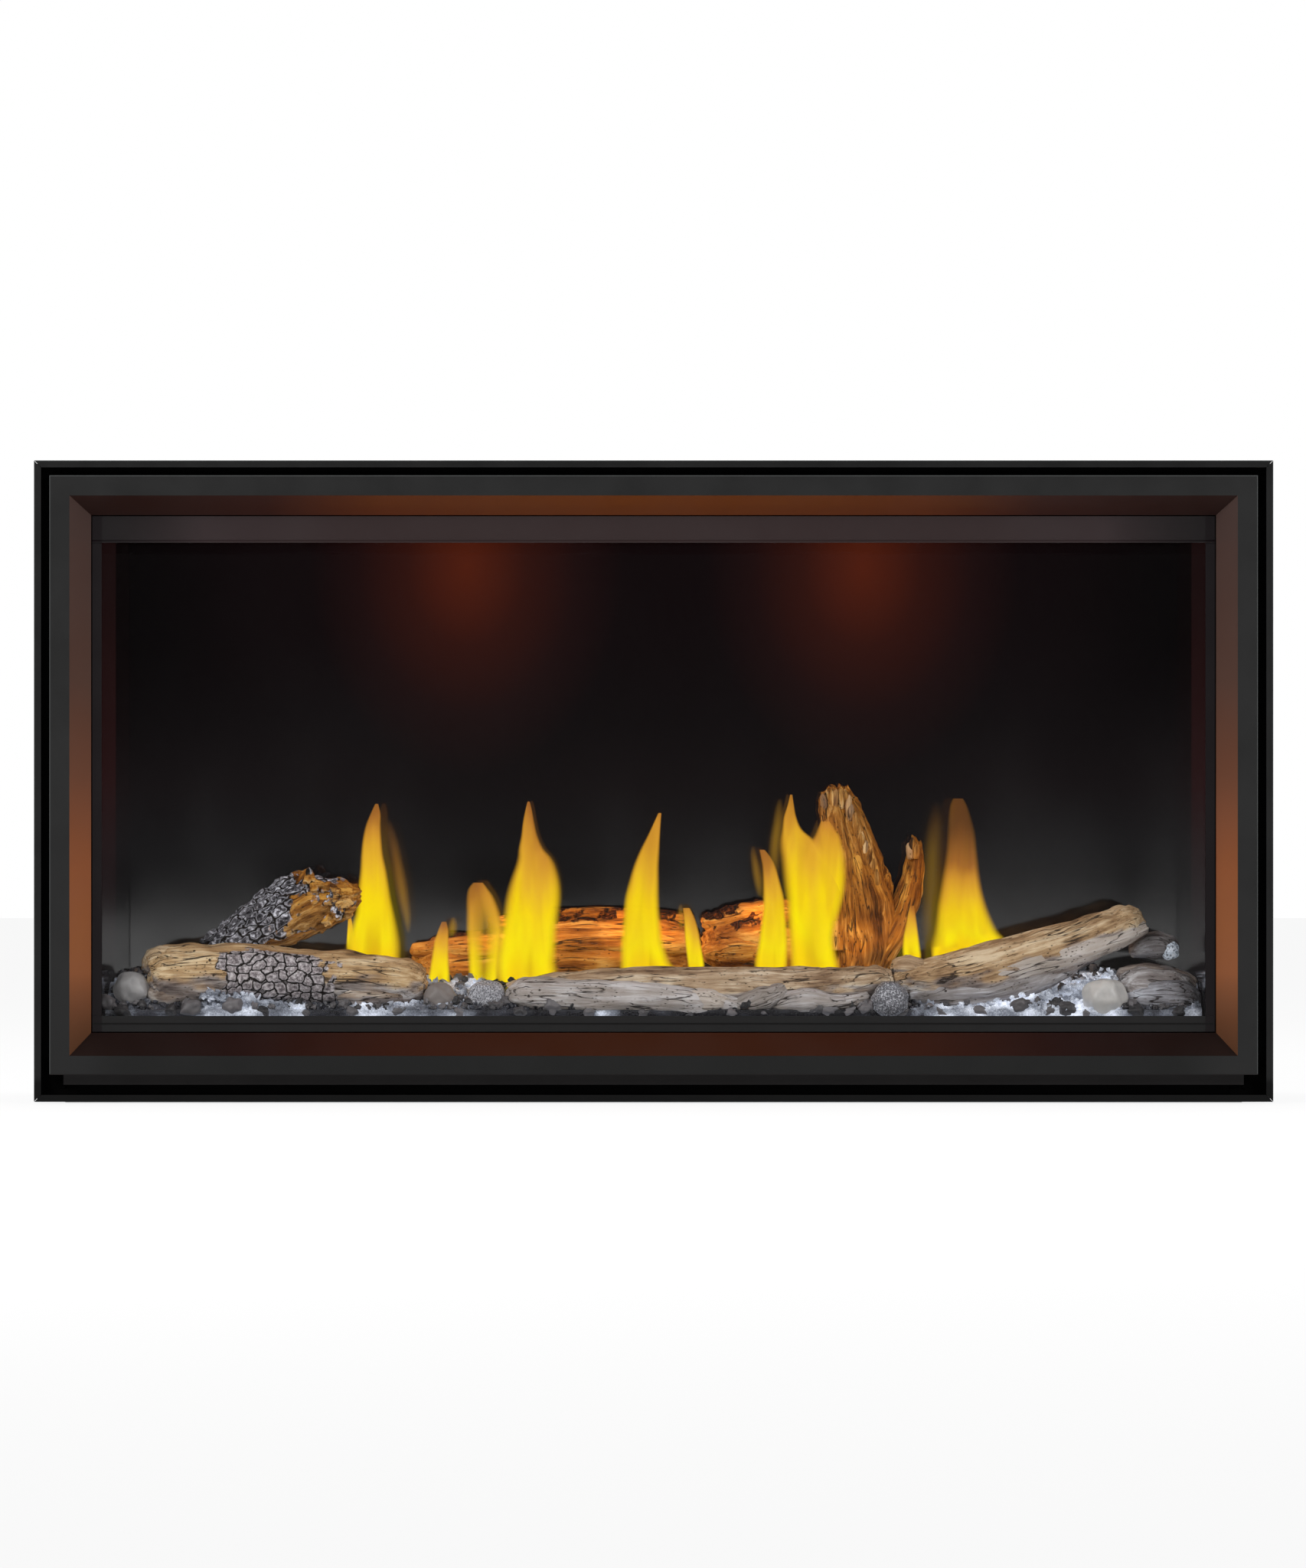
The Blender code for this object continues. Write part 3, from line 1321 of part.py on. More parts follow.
def electrical(module_look, box_look):
    floor = COMPARTMENT_FLOOR
    module = block(
        "control_module",
        (MODULE_X - MODULE_LENGTH / 2, MODULE_X + MODULE_LENGTH / 2),
        (VALVE_FRONT, VALVE_FRONT + MODULE_WIDTH),
        (floor, floor + MODULE_HEIGHT),
        module_look,
    )
    round_edges(module, MODULE_EDGE)
    socket_foot = floor + (MODULE_HEIGHT - MODULE_SOCKET_HEIGHT) / 2
    socket = block(
        "module_socket",
        (MODULE_X - MODULE_SOCKET_LENGTH / 2, MODULE_X + MODULE_SOCKET_LENGTH / 2),
        (VALVE_FRONT - CUT_OVERRUN, VALVE_FRONT + MODULE_SOCKET_DEPTH),
        (socket_foot, socket_foot + MODULE_SOCKET_HEIGHT),
        None,
    )
    cut(module, socket)
    box = block(
        "junction_box",
        (JUNCTION_X - JUNCTION_LENGTH / 2, JUNCTION_X + JUNCTION_LENGTH / 2),
        (VALVE_FRONT, VALVE_FRONT + JUNCTION_WIDTH),
        (floor, floor + JUNCTION_HEIGHT),
        box_look,
    )
    for side, sign in (("left", -1), ("right", 1)):
        recess_x = JUNCTION_X + sign * JUNCTION_LENGTH / 4
        recess = rod(
            "knockout_" + side,
            JUNCTION_KNOCKOUT_RADIUS,
            (-CUT_OVERRUN, JUNCTION_KNOCKOUT_DEPTH),
            (recess_x, at_depth(VALVE_FRONT), floor + JUNCTION_HEIGHT / 2),
            (0, 1, 0),
            20,
            None,
        )
        cut(box, recess)


def bed_place(across_share, deep_share, up_share):
    return Vector(
        (
            across_share * VIEW_HALF,
            at_depth(BED_FRONT + deep_share * BED_DEPTH),
            VIEW_BOTTOM + up_share * VIEW_HEIGHT,
        )
    )


def smooth_rows(rows):
    """Rows between the given ones, on a smooth curve through them."""
    dense = []
    for index in range(len(rows) - 1):
        before = rows[max(index - 1, 0)]
        here = rows[index]
        after = rows[index + 1]
        later = rows[min(index + 2, len(rows) - 1)]
        for step in range(LOG_RINGS_PER_SPAN):
            t = step / LOG_RINGS_PER_SPAN
            row = []
            for a, b, c, d in zip(before, here, after, later):
                value = 2 * b + (c - a) * t + (2 * a - 5 * b + 4 * c - d) * t**2
                value += (3 * b - a - 3 * c + d) * t**3
                row.append(value / 2)
            dense.append(tuple(row))
    dense.append(rows[-1])
    return dense


def driftwood(name, rows, flatten, seed, look):
    """A tapering limb of driftwood through rows of shares, with a rough skin."""
    dense = smooth_rows(rows)
    spine = [bed_place(*row[:3]) for row in dense]
    radii = [row[3] * VIEW_HEIGHT for row in dense]
    points = []
    for index, centre in enumerate(spine):
        after = spine[min(index + 1, len(spine) - 1)]
        before = spine[max(index - 1, 0)]
        along = (after - before).normalized()
        deep = Vector((0, 1, 0))
        deep = (deep - along * along.dot(deep)).normalized()
        side = along.cross(deep)
        for step in range(LOG_SIDES):
            angle = 2 * math.pi * step / LOG_SIDES
            offset = math.cos(angle) * flatten * deep + math.sin(angle) * side
            sample = (offset + along * index / LOG_RINGS_PER_SPAN) * LOG_NOISE_CYCLES
            rough = 1 + LOG_ROUGHNESS_SHARE * noise.noise(sample + Vector((seed, seed, seed)))
            points.append(centre + offset * radii[index] * rough)
    faces = []
    for index in range(len(spine) - 1):
        here = index * LOG_SIDES
        there = here + LOG_SIDES
        for step in range(LOG_SIDES):
            after = (step + 1) % LOG_SIDES
            faces.append((here + step, here + after, there + after, there + step))
    faces.append(tuple(range(LOG_SIDES)))
    last = len(points) - LOG_SIDES
    faces.append(tuple(range(last, last + LOG_SIDES)))
    return add_object(name, mesh_from(name, points, faces), look, math.radians(50))


def bed_cutter():
    """The space under the surface that logs and stones rest on."""
    low = FLOOR_TOP
    outline = tray_line(EMBER_THICK + GAP)
    front_height = outline[0][1]
    back_height = outline[-1][1]
    outline = [(BED_FRONT - CUT_OVERRUN, front_height), *outline, (BED_BACK + CUT_OVERRUN, back_height)]
    outline += [(BED_BACK + CUT_OVERRUN, low), (BED_FRONT - CUT_OVERRUN, low)]
    return prism("bed_space", outline, "X", (-BED_HALF, BED_HALF), None)


def media(log_look, charred_look, stone_looks):
    flattened = {
        "stub_log": STUB_FLATTEN_SHARE,
        "forked_log": FORK_FLATTEN_SHARE,
        "rear_left_log": REAR_FLATTEN_SHARE,
    }
    space = bed_cutter()
    for seed, (name, rows) in enumerate(LOG_SHARES.items()):
        look = charred_look if name == "rear_left_log" else log_look
        flatten = flattened.get(name, 1.0)
        log = driftwood(name, rows, flatten, seed, look)
        if name == "forked_log":
            prong = driftwood("fork_prong", FORK_PRONG_SHARES, flatten, seed + len(LOG_SHARES), None)
            unite(log, prong)
        cut(log, space)
    for name, (across, deep, up, radius_share) in STONE_SHARES.items():
        shape = bmesh.new()
        bmesh.ops.create_icosphere(shape, subdivisions=STONE_DETAIL, radius=radius_share * VIEW_HEIGHT)
        centre = bed_place(across, deep, up)
        for vertex in shape.verts:
            vertex.co.z *= STONE_FLATTEN_SHARE
            vertex.co += centre
        mesh = bpy.data.meshes.new(name)
        shape.to_mesh(mesh)
        shape.free()
        stone = add_object(name, mesh, stone_looks[name], math.radians(60))
        cut(stone, space)


def build():
    clear_scene()
    black = material("satin_black_steel", (0.028, 0.028, 0.030), 0.45, 0.6)
    face = material("charcoal_face", (0.030, 0.030, 0.031), 0.40, 0.5)
    galvanised = material("galvanised_steel", (0.42, 0.43, 0.44), 0.45, 0.9)
    firebox_black = material("firebox_black", (0.030, 0.028, 0.028), 0.60, 0.4)
    porcelain = material("porcelain_liner", (0.010, 0.009, 0.009), 0.12)
    clear_glass = material("ceramic_glass", (0.60, 0.62, 0.62), 0.02, 0.0, 0.15)
    rope = material("gasket_rope", (0.12, 0.12, 0.11), 0.90)
    embers = material("crushed_glass", (0.62, 0.65, 0.70), 0.25)
    led = material("light_strip", (0.85, 0.88, 0.95), 0.30)
    burner_steel = material("aluminised_steel", (0.36, 0.36, 0.35), 0.50, 0.8)
    brass = material("brass", (0.62, 0.46, 0.20), 0.35, 1.0)
    cast = material("cast_valve", (0.50, 0.51, 0.52), 0.45, 0.9)
    knob = material("knob_plastic", (0.020, 0.020, 0.020), 0.50)
    pipe = material("steel_pipe", (0.34, 0.34, 0.34), 0.40, 0.9)
    lever = material("lever_coating", (0.60, 0.45, 0.04), 0.45)
    ceramic = material("electrode_ceramic", (0.75, 0.73, 0.68), 0.40)
    module = material("module_plastic", (0.050, 0.052, 0.055), 0.50)
    lamp = material("lamp_housing", (0.24, 0.16, 0.12), 0.40, 0.5)
    driftwood_look = material("driftwood", (0.36, 0.29, 0.22), 0.85)
    charred = material("charred_wood", (0.09, 0.08, 0.08), 0.85)
    stones = {
        "stone_smooth": material("grey_stone", (0.24, 0.23, 0.23), 0.55),
        "stone_speckled": material("speckled_stone", (0.36, 0.36, 0.36), 0.65),
        "stone_white": material("white_stone", (0.58, 0.57, 0.54), 0.45),
    }
    finishing_trim(black)
    face_frame(face)
    glass_door(firebox_black, clear_glass, rope)
    firebox(firebox_black)
    relief_flaps(galvanised)
    liners(porcelain)
    casing(galvanised, galvanised)
    vent_collar("exhaust_collar", EXHAUST_RADIUS, FIREBOX_BACK + SHEET, galvanised)
    vent_collar("intake_collar", INTAKE_RADIUS, CASING_BACK + SHEET, galvanised)
    accent_lamps(lamp)
    media_bed(firebox_black, embers, led)
    burner(burner_steel, brass)
    pilot(burner_steel, ceramic)
    gas_train(cast, knob, brass, pipe, lever)
    electrical(module, galvanised)
    media(driftwood_look, charred, stones)


build()
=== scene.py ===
"""Looks for a direct vent gas fireplace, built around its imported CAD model."""

import math
import random

import bpy
from mathutils import Matrix, Vector, noise


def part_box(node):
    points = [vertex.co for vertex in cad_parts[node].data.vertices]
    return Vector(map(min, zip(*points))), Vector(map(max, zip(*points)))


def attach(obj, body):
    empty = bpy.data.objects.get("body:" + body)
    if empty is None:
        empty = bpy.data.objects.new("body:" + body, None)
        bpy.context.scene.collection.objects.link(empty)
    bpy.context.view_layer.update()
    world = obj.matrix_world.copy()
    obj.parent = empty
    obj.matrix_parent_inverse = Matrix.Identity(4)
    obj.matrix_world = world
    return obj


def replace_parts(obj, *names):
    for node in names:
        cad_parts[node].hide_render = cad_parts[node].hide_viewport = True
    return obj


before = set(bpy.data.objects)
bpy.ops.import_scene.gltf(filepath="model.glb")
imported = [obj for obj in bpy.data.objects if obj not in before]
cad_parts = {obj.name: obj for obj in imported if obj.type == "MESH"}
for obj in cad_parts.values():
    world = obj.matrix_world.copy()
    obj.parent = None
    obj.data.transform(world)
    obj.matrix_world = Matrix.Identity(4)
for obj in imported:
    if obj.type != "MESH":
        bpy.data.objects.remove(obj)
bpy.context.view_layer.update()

# Blender's noise vectors start from the clock unless they have a seed
NOISE_SEED = 1
noise.seed_set(NOISE_SEED)

# The photograph and the camera that stands for it
PHOTO_WIDTH = 1706
PHOTO_HEIGHT = 2048
PIXEL = 0.000878
SENSOR = 36.0
VIEW_DISTANCE = 11.0
VIEW_LIMIT = 100.0
EYE_X = -0.0007
EYE_Z = 0.3667

# Places read from the CAD solids
FRONT_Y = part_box("face_frame")[0].y
VIEW_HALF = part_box("glass_stile_right")[0].x
VIEW_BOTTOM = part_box("glass_rail_bottom")[1].z
VIEW_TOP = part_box("glass_rail_top")[0].z
VIEW_HEIGHT = VIEW_TOP - VIEW_BOTTOM
BED_LOW, BED_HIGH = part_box("ember_bed")
BED_FRONT = BED_LOW.y - FRONT_Y
BED_DEPTH = BED_HIGH.y - BED_LOW.y
TRIM_LOW, TRIM_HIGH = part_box("trim_left")[0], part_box("trim_right")[1]
FACE_LOW, FACE_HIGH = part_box("face_frame")
FACE_LIP = 0.0120
FACE_FLAT_LOW = FACE_LOW.z + FACE_LIP
TOP_LIGHTS = ("top_light_left", "top_light_right")

# The ember bed's surface, from front to back: share of its depth, and height
BED_LINE = ((0.0, 0.1060), (0.3784, 0.1360), (0.5657, 0.1360), (1.0, 0.1460))


def photo_place(across, down, depth):
    """The point at a depth behind the front plane that shows at this pixel of the photograph."""
    grow = (VIEW_DISTANCE + depth) / VIEW_DISTANCE * PIXEL
    x = EYE_X + (across - PHOTO_WIDTH / 2) * grow
    z = EYE_Z + (PHOTO_HEIGHT / 2 - down) * grow
    return Vector((x, FRONT_Y + depth, z))


def bed_height(depth):
    """Height of the ember bed's surface at a depth behind the front plane."""
    share = (depth - BED_FRONT) / BED_DEPTH
    for (low, start), (high, end) in zip(BED_LINE, BED_LINE[1:]):
        if share <= high:
            return start + (end - start) * max(share - low, 0) / (high - low)
    return BED_LINE[-1][1]


def shade(red, green, blue):
    """A display colour from 0 to 255 as the linear colour that a shader takes."""
    channels = []
    for value in (red, green, blue):
        value /= 255
        channels.append(value / 12.92 if value <= 0.04045 else ((value + 0.055) / 1.055) ** 2.4)
    return (*channels, 1.0)


class Signal:
    """One output of a shader node. A sum with it adds the nodes that work the sum out."""

    def __init__(self, graph, socket):
        self.graph = graph
        self.socket = socket

    def __add__(self, other):
        return self.graph.maths("ADD", self, other)

    def __sub__(self, other):
        return self.graph.maths("SUBTRACT", self, other)

    def __rsub__(self, other):
        return self.graph.maths("SUBTRACT", other, self)

    def __mul__(self, other):
        return self.graph.maths("MULTIPLY", self, other)

    def __truediv__(self, other):
        return self.graph.maths("DIVIDE", self, other)

    def __lt__(self, other):
        return self.graph.maths("LESS_THAN", self, other)

    def __gt__(self, other):
        return self.graph.maths("GREATER_THAN", self, other)

    def __abs__(self):
        return self.graph.maths("ABSOLUTE", self)


class Graph:
    """A tree of shader nodes, added by short calls that each give a signal.

    A colour of three values is a display colour from 0 to 255.
    """

    def __init__(self, tree):
        self.tree = tree

    def feed(self, node, key, value):
        """Links a signal to an input, or sets the input to a plain value."""
        socket = node.inputs[key]
        if isinstance(value, Signal):
            self.tree.links.new(value.socket, socket)
        elif socket.type == "RGBA" and len(value) == 3:
            socket.default_value = shade(*value)
        elif value is not None:
            socket.default_value = value

    def node(self, kind, inputs=(), **settings):
        made = self.tree.nodes.new("ShaderNode" + kind)
        for key, value in settings.items():
            setattr(made, key, value)
        for key, value in dict(inputs).items():
            self.feed(made, key, value)
        return made

    def signal(self, kind, output, inputs=(), **settings):
        return Signal(self, self.node(kind, inputs, **settings).outputs[output])

    def maths(self, operation, first, second=None):
        return self.signal("Math", 0, {0: first, 1: second}, operation=operation)

    def larger(self, first, second):
        return self.maths("MAXIMUM", first, second)

    def split(self, vector):
        made = self.node("SeparateXYZ", {"Vector": vector})
        return [Signal(self, made.outputs[axis]) for axis in "XYZ"]

    def blend(self, factor, first, second):
        return self.signal("Mix", 0, {0: factor, 2: first, 3: second}, data_type="FLOAT")

    def mix(self, factor, first, second, mode="MIX"):
        inputs = {0: factor, 6: first, 7: second}
        return self.signal("Mix", 2, inputs, data_type="RGBA", blend_type=mode)

    def ranged(self, value, low, high, to_low=0.0, to_high=1.0, ease="LINEAR"):
        """A value from low to high, put onto a new range."""
        inputs = {"Value": value, "From Min": low, "From Max": high, "To Min": to_low, "To Max": to_high}
        return self.signal("MapRange", "Result", inputs, interpolation_type=ease)

    def spread(self, *values):
        """As ranged, eased at both ends."""
        return self.ranged(*values, ease="SMOOTHSTEP")

    def ramp(self, value, *stops):
        """A colour along these stops, each a position and a display colour."""
        made = self.node("ValToRGB", {"Fac": value})
        bands = made.color_ramp.elements
        while len(bands) < len(stops):
            bands.new(0.5)
        for band, (position, *colour) in zip(bands, stops):
            band.position = position
            band.color = shade(*colour)
        return Signal(self, made.outputs["Color"])


class Look(Graph):
    """A Principled material, with the patterns that its colours and relief are made from."""

    def __init__(self, name, **values):
        self.material = bpy.data.materials.new(name)
        self.material.use_nodes = True
        super().__init__(self.material.node_tree)
        self.shader = self.tree.nodes["Principled BSDF"]
        for key, value in values.items():
            self.paint(key.replace("_", " ").title().replace("Ior", "IOR"), value)

    def paint(self, key, value):
        self.feed(self.shader, key, value)

    def place(self):
        return self.signal("TexCoord", "Object")

    def stored(self, name, output="Fac"):
        """What the mesh keeps for each point under this name."""
        return self.signal("Attribute", output, attribute_name=name)

    def facing(self):
        """The X, Y and Z of the surface's direction."""
        return self.split(self.signal("NewGeometry", "Normal"))

    def stretched(self, vector, scale, turn=(0, 0, 0)):
        return self.signal("Mapping", 0, {"Vector": vector, "Scale": scale, "Rotation": turn})

    def noise(self, vector, scale=1.0, detail=4.0, rough=0.55, warp=0.0):
        inputs = {"Scale": scale, "Detail": detail, "Roughness": rough, "Distortion": warp}
        return self.signal("TexNoise", "Fac", {"Vector": vector, **inputs})

    def lines(self, vector, stretch, warp, wide, thin):
        """1 on thin wavering lines, where a stretched noise passes its middle."""
        wave = self.noise(self.stretched(vector, stretch), 1.0, 2.0, 0.5, warp)
        return self.spread(abs(wave - 0.5), wide, thin)

    def patches(self, vector, scale, detail, low, high):
        """1 in the patches of a noise, 0 between them."""
        return self.spread(self.noise(vector, scale, detail), low, high)

    def shifted(self, vector, place, scale, reach):
        """The vector, moved about by a coloured noise over this place."""
        colour = self.signal("TexNoise", "Color", {"Vector": place, "Scale": scale})
        push = self.signal("VectorMath", 0, {0: colour, "Scale": reach}, operation="SCALE")
        return self.signal("VectorMath", 0, {0: vector, 1: push}, operation="ADD")

    def cells(self, vector, scale, output="Distance"):
        return self.signal("TexVoronoi", output, {"Vector": vector, "Scale": scale})

    def gap_between_blocks(self, vector, chaos):
        """0 on the cracks of a flat pattern of squarish blocks, more inside each block."""
        inputs = {"Vector": vector, "Scale": 1.0, "Randomness": chaos}
        kind = {"distance": "CHEBYCHEV", "voronoi_dimensions": "2D"}
        nearest = self.signal("TexVoronoi", "Distance", inputs, feature="F1", **kind)
        return self.signal("TexVoronoi", "Distance", inputs, feature="F2", **kind) - nearest

    def bump(self, height, strength, distance):
        inputs = {"Height": height, "Strength": strength, "Distance": distance}
        return self.signal("Bump", "Normal", inputs)


def dress(look, *nodes):
    """Gives CAD nodes this material."""
    for name in nodes:
        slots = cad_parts[name].data.materials
        slots.clear()
        slots.append(look.material)


class Shape:
    """Points, faces and stored values that a piece is put together from."""

    def __init__(self):
        self.points = []
        self.faces = []
        self.values = {}

    def add(self, points, faces, values=()):
        """Adds points, the faces between them, and lists of one stored value for each point."""
        start = len(self.points)
        self.points += points
        self.faces += [tuple(index + start for index in face) for face in faces]
        for name, fresh in dict(values).items():
            self.values.setdefault(name, []).extend(fresh)

    def piece(self, name, look, slot=None, smooth=True):
        """The shape as a mesh piece of the object."""
        mesh = bpy.data.meshes.new(name)
        mesh.from_pydata([tuple(point) for point in self.points], [], self.faces)
        mesh.materials.append(look.material)
        if smooth:
            mesh.shade_smooth()
        made = added(name, mesh)
        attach(made, "fireplace")
        for key, values in self.values.items():
            if isinstance(values[0], Vector):
                flat = [part for value in values for part in value]
                mesh.attributes.new(key, "FLOAT_VECTOR", "POINT").data.foreach_set("vector", flat)
            else:
                mesh.attributes.new(key, "FLOAT", "POINT").data.foreach_set("value", values)
        return made


def band(one, two, outward=True):
    """Faces between two rings with as many points each."""
    faces = []
    for step in range(len(one)):
        after = (step + 1) % len(one)
        face = (one[step], one[after], two[after], two[step])
        faces.append(face if outward else (face[1], face[0], face[3], face[2]))
    return faces


def added(name, data, place=(0, 0, 0)):
    """A new object in the scene."""
    made = bpy.data.objects.new(name, data)
    made.location = place
    bpy.context.scene.collection.objects.link(made)
    return made


# Camera, floor and studio light

FLOOR_HALF = 15.0
FLOOR_GLOW = 0.85
WHITE = (1.0, 1.0, 1.0, 1.0)

# Name, place, height of the target and power of each studio lamp, in metres and watts
STUDIO_LAMPS = (
    ("key_light", (-3.0, -3.6, 2.8), 0.35, 120.0),
    ("fill_light", (3.4, -3.2, 2.2), 0.35, 80.0),
    ("top_light", (0.0, 0.6, 3.2), 0.4, 40.0),
)
STUDIO_LAMP_SIZE = (2.4, 1.6)


def studio():
    scene = bpy.context.scene
    scene.view_settings.view_transform = "Standard"
    scene.cycles.transparent_max_bounces = 24
    scene.cycles.use_denoising = True
    scene.camera = added("camera", bpy.data.cameras.new("camera"), (EYE_X, FRONT_Y - VIEW_DISTANCE, EYE_Z))
    scene.camera.rotation_euler = (math.radians(90), 0, 0)
    scene.camera.data.sensor_width = SENSOR
    scene.camera.data.lens = SENSOR * VIEW_DISTANCE / (PHOTO_HEIGHT * PIXEL)
    scene.camera.data.clip_end = VIEW_LIMIT
    scene.world = studio_world()
    floor()
    for name, place, target, power in STUDIO_LAMPS:
        lamp(name, place, (0, 0, target), STUDIO_LAMP_SIZE, power)


def studio_world():
    """White to the camera, and darker towards the front for what it lights and what mirrors it."""
    world = bpy.data.worlds.new("studio")
    world.use_nodes = True
    sky = Graph(world.node_tree)
    path = sky.node("LightPath").outputs
    rays = ("Camera", "Glossy", "Transmission")
    camera, glossy, through = (Signal(sky, path[f"Is {ray} Ray"]) for ray in rays)
    _, deep, _ = sky.split(sky.signal("TexCoord", "Generated"))
    diffuse, mirrored = (sky.ranged(deep, -0.8, 0.6, *levels) for levels in ((0.45, 0.75), (0.010, 1.0)))
    lit = sky.blend(through, sky.blend(glossy, diffuse, mirrored), 1.0)
    background = world.node_tree.nodes["Background"]
    sky.feed(background, "Strength", sky.blend(camera, lit, 1.0))
    sky.feed(background, "Color", WHITE)
    return world


def floor():
    mesh = bpy.data.meshes.new("floor")
    corners = [(-FLOOR_HALF, -FLOOR_HALF, 0), (FLOOR_HALF, -FLOOR_HALF, 0)]
    corners += [(FLOOR_HALF, FLOOR_HALF, 0), (-FLOOR_HALF, FLOOR_HALF, 0)]
    mesh.from_pydata(corners, [], [(0, 1, 2, 3)])
    mesh.materials.append(floor_look().material)
    added("floor", mesh)


def floor_look():
    """White, with a share of its own light where the camera or a mirror sees it."""
    look = Look("floor_white", base_color=(0.90, 0.90, 0.90, 1.0), roughness=0.9, specular_ior_level=0.0)
    path = look.node("LightPath").outputs
    seen = look.larger(Signal(look, path["Is Camera Ray"]), Signal(look, path["Is Glossy Ray"]))
    glow = look.signal("Emission", 0, {"Color": WHITE, "Strength": 1.0})
    surface = Signal(look, look.shader.outputs[0])
    both = look.signal("MixShader", 0, {0: seen * FLOOR_GLOW, 1: surface, 2: glow})
    look.feed(look.tree.nodes["Material Output"], "Surface", both)
    return look


def light(name, kind, place, power, colour):
    data = bpy.data.lights.new(name, kind)
    data.energy = power
    data.color = colour
    made = added(name, data, place)
    made.visible_camera = False
    return made


def lamp(name, place, target, size, power, colour=(1.0, 1.0, 1.0)):
    """A soft rectangular light that faces its target."""
    made = light(name, "AREA", place, power, colour)
    made.data.shape = "RECTANGLE"
    made.data.size, made.data.size_y = size
    made.rotation_euler = (Vector(target) - Vector(place)).to_track_quat("-Z", "Y").to_euler()


def bulb(name, place, radius, power, colour):
    made = light(name, "POINT", place, power, colour)
    made.data.shadow_soft_size = radius
    made.visible_glossy = False


# Painted and coated metal

# Width of the painted highlight along a frame's outer edge, and of its full-strength part
EDGE_WIDTH = 0.0012
EDGE_START = EDGE_WIDTH * 0.4
TRIM_SKIN = 0.0015

# Heights above the foot of the trim and of the face frame's flat between which a shadow ends
TRIM_SHADOW = (0.030, 0.020)
FACE_SHADOW = (0.034, 0.026)
FACE_SHADOW_ENDS = (0.66, 0.60)
# How far above the face frame's flat low edge the lower lip's painted shade reaches
FOOT_EDGE = 0.001
# Heights and half-width over which the firelight painted on the reveal changes
REVEAL_SPAN = (0.05, 0.72)
REVEAL_HALF = 0.66

# The door's top rail, painted lighter in its middle and shaded at its ends, its stiles' inner edges, from
# where the stiles are painted darker and redder as light, and the groove along its bottom rail, painted as a
# dark line of shade
DOOR_TOP_LIGHT_SPAN = (0.3, 0.64)
DOOR_TOP_EDGE = (0.004, 0.001)
DOOR_SIDE_EDGE = 0.0006
DOOR_GROOVE = (0.0016, 0.0008)


def paint_skin(look, roughness, grain=0.00012):
    """Fine orange peel and uneven gloss, as on powder-coated sheet."""
    place = look.place()
    peel = look.noise(place, 900.0, 2.0)
    cloud = look.noise(place, 14.0, 3.0)
    look.paint("Roughness", look.spread(cloud, 0.3, 0.7, roughness - 0.05, roughness + 0.06))
    look.paint("Normal", look.bump(peel, 0.35, grain))
    return place, cloud


def edge_highlight_mask(look, across, up, half_x, low_z, high_z):
    """1 on the outer edge of a frame with these bounds, where a painted highlight goes, 0 elsewhere."""
    side = look.spread(abs(across), half_x - EDGE_WIDTH, half_x - EDGE_START)
    top = look.spread(up, high_z - EDGE_WIDTH, high_z - EDGE_START)
    low = 1.0 - look.spread(up, low_z + EDGE_START, low_z + EDGE_WIDTH)
    return look.larger(look.larger(side, top), low)


def trim_look():
    """Satin black, with a painted highlight along the outer edge, painted shade towards the foot, and painted
    shade that leaves almost no light on the recess's inner faces.
    """
    look = Look("satin_black_trim")
    place, cloud = paint_skin(look, 0.40)
    across, back, up = look.split(place)
    base = look.mix(cloud, (14, 14, 14), (19, 19, 19))
    # Painted highlight: a pale line along the trim's outer edge
    rim = edge_highlight_mask(look, across, up, TRIM_HIGH.x, TRIM_LOW.z, TRIM_HIGH.z)
    base = look.mix(rim, base, (52, 54, 54))
    # Painted shade: the recess's inner faces near black, with little specular
    inside = (abs(across) < TRIM_HIGH.x - TRIM_SKIN) * (up < TRIM_HIGH.z - TRIM_SKIN)
    inside = inside * (up > TRIM_LOW.z + TRIM_SKIN) * (back > TRIM_LOW.y + TRIM_SKIN)
    # Painted shade: darker towards the foot of the trim
    under = look.spread(up, *(TRIM_LOW.z + height for height in TRIM_SHADOW))
    base = look.mix(under * 0.7, base, (4, 4, 4))
    look.paint("Base Color", look.mix(inside, base, (4, 4, 4)))
    look.paint("Specular IOR Level", look.blend(inside, look.blend(under, 0.25, 0.14), 0.02))
    return look


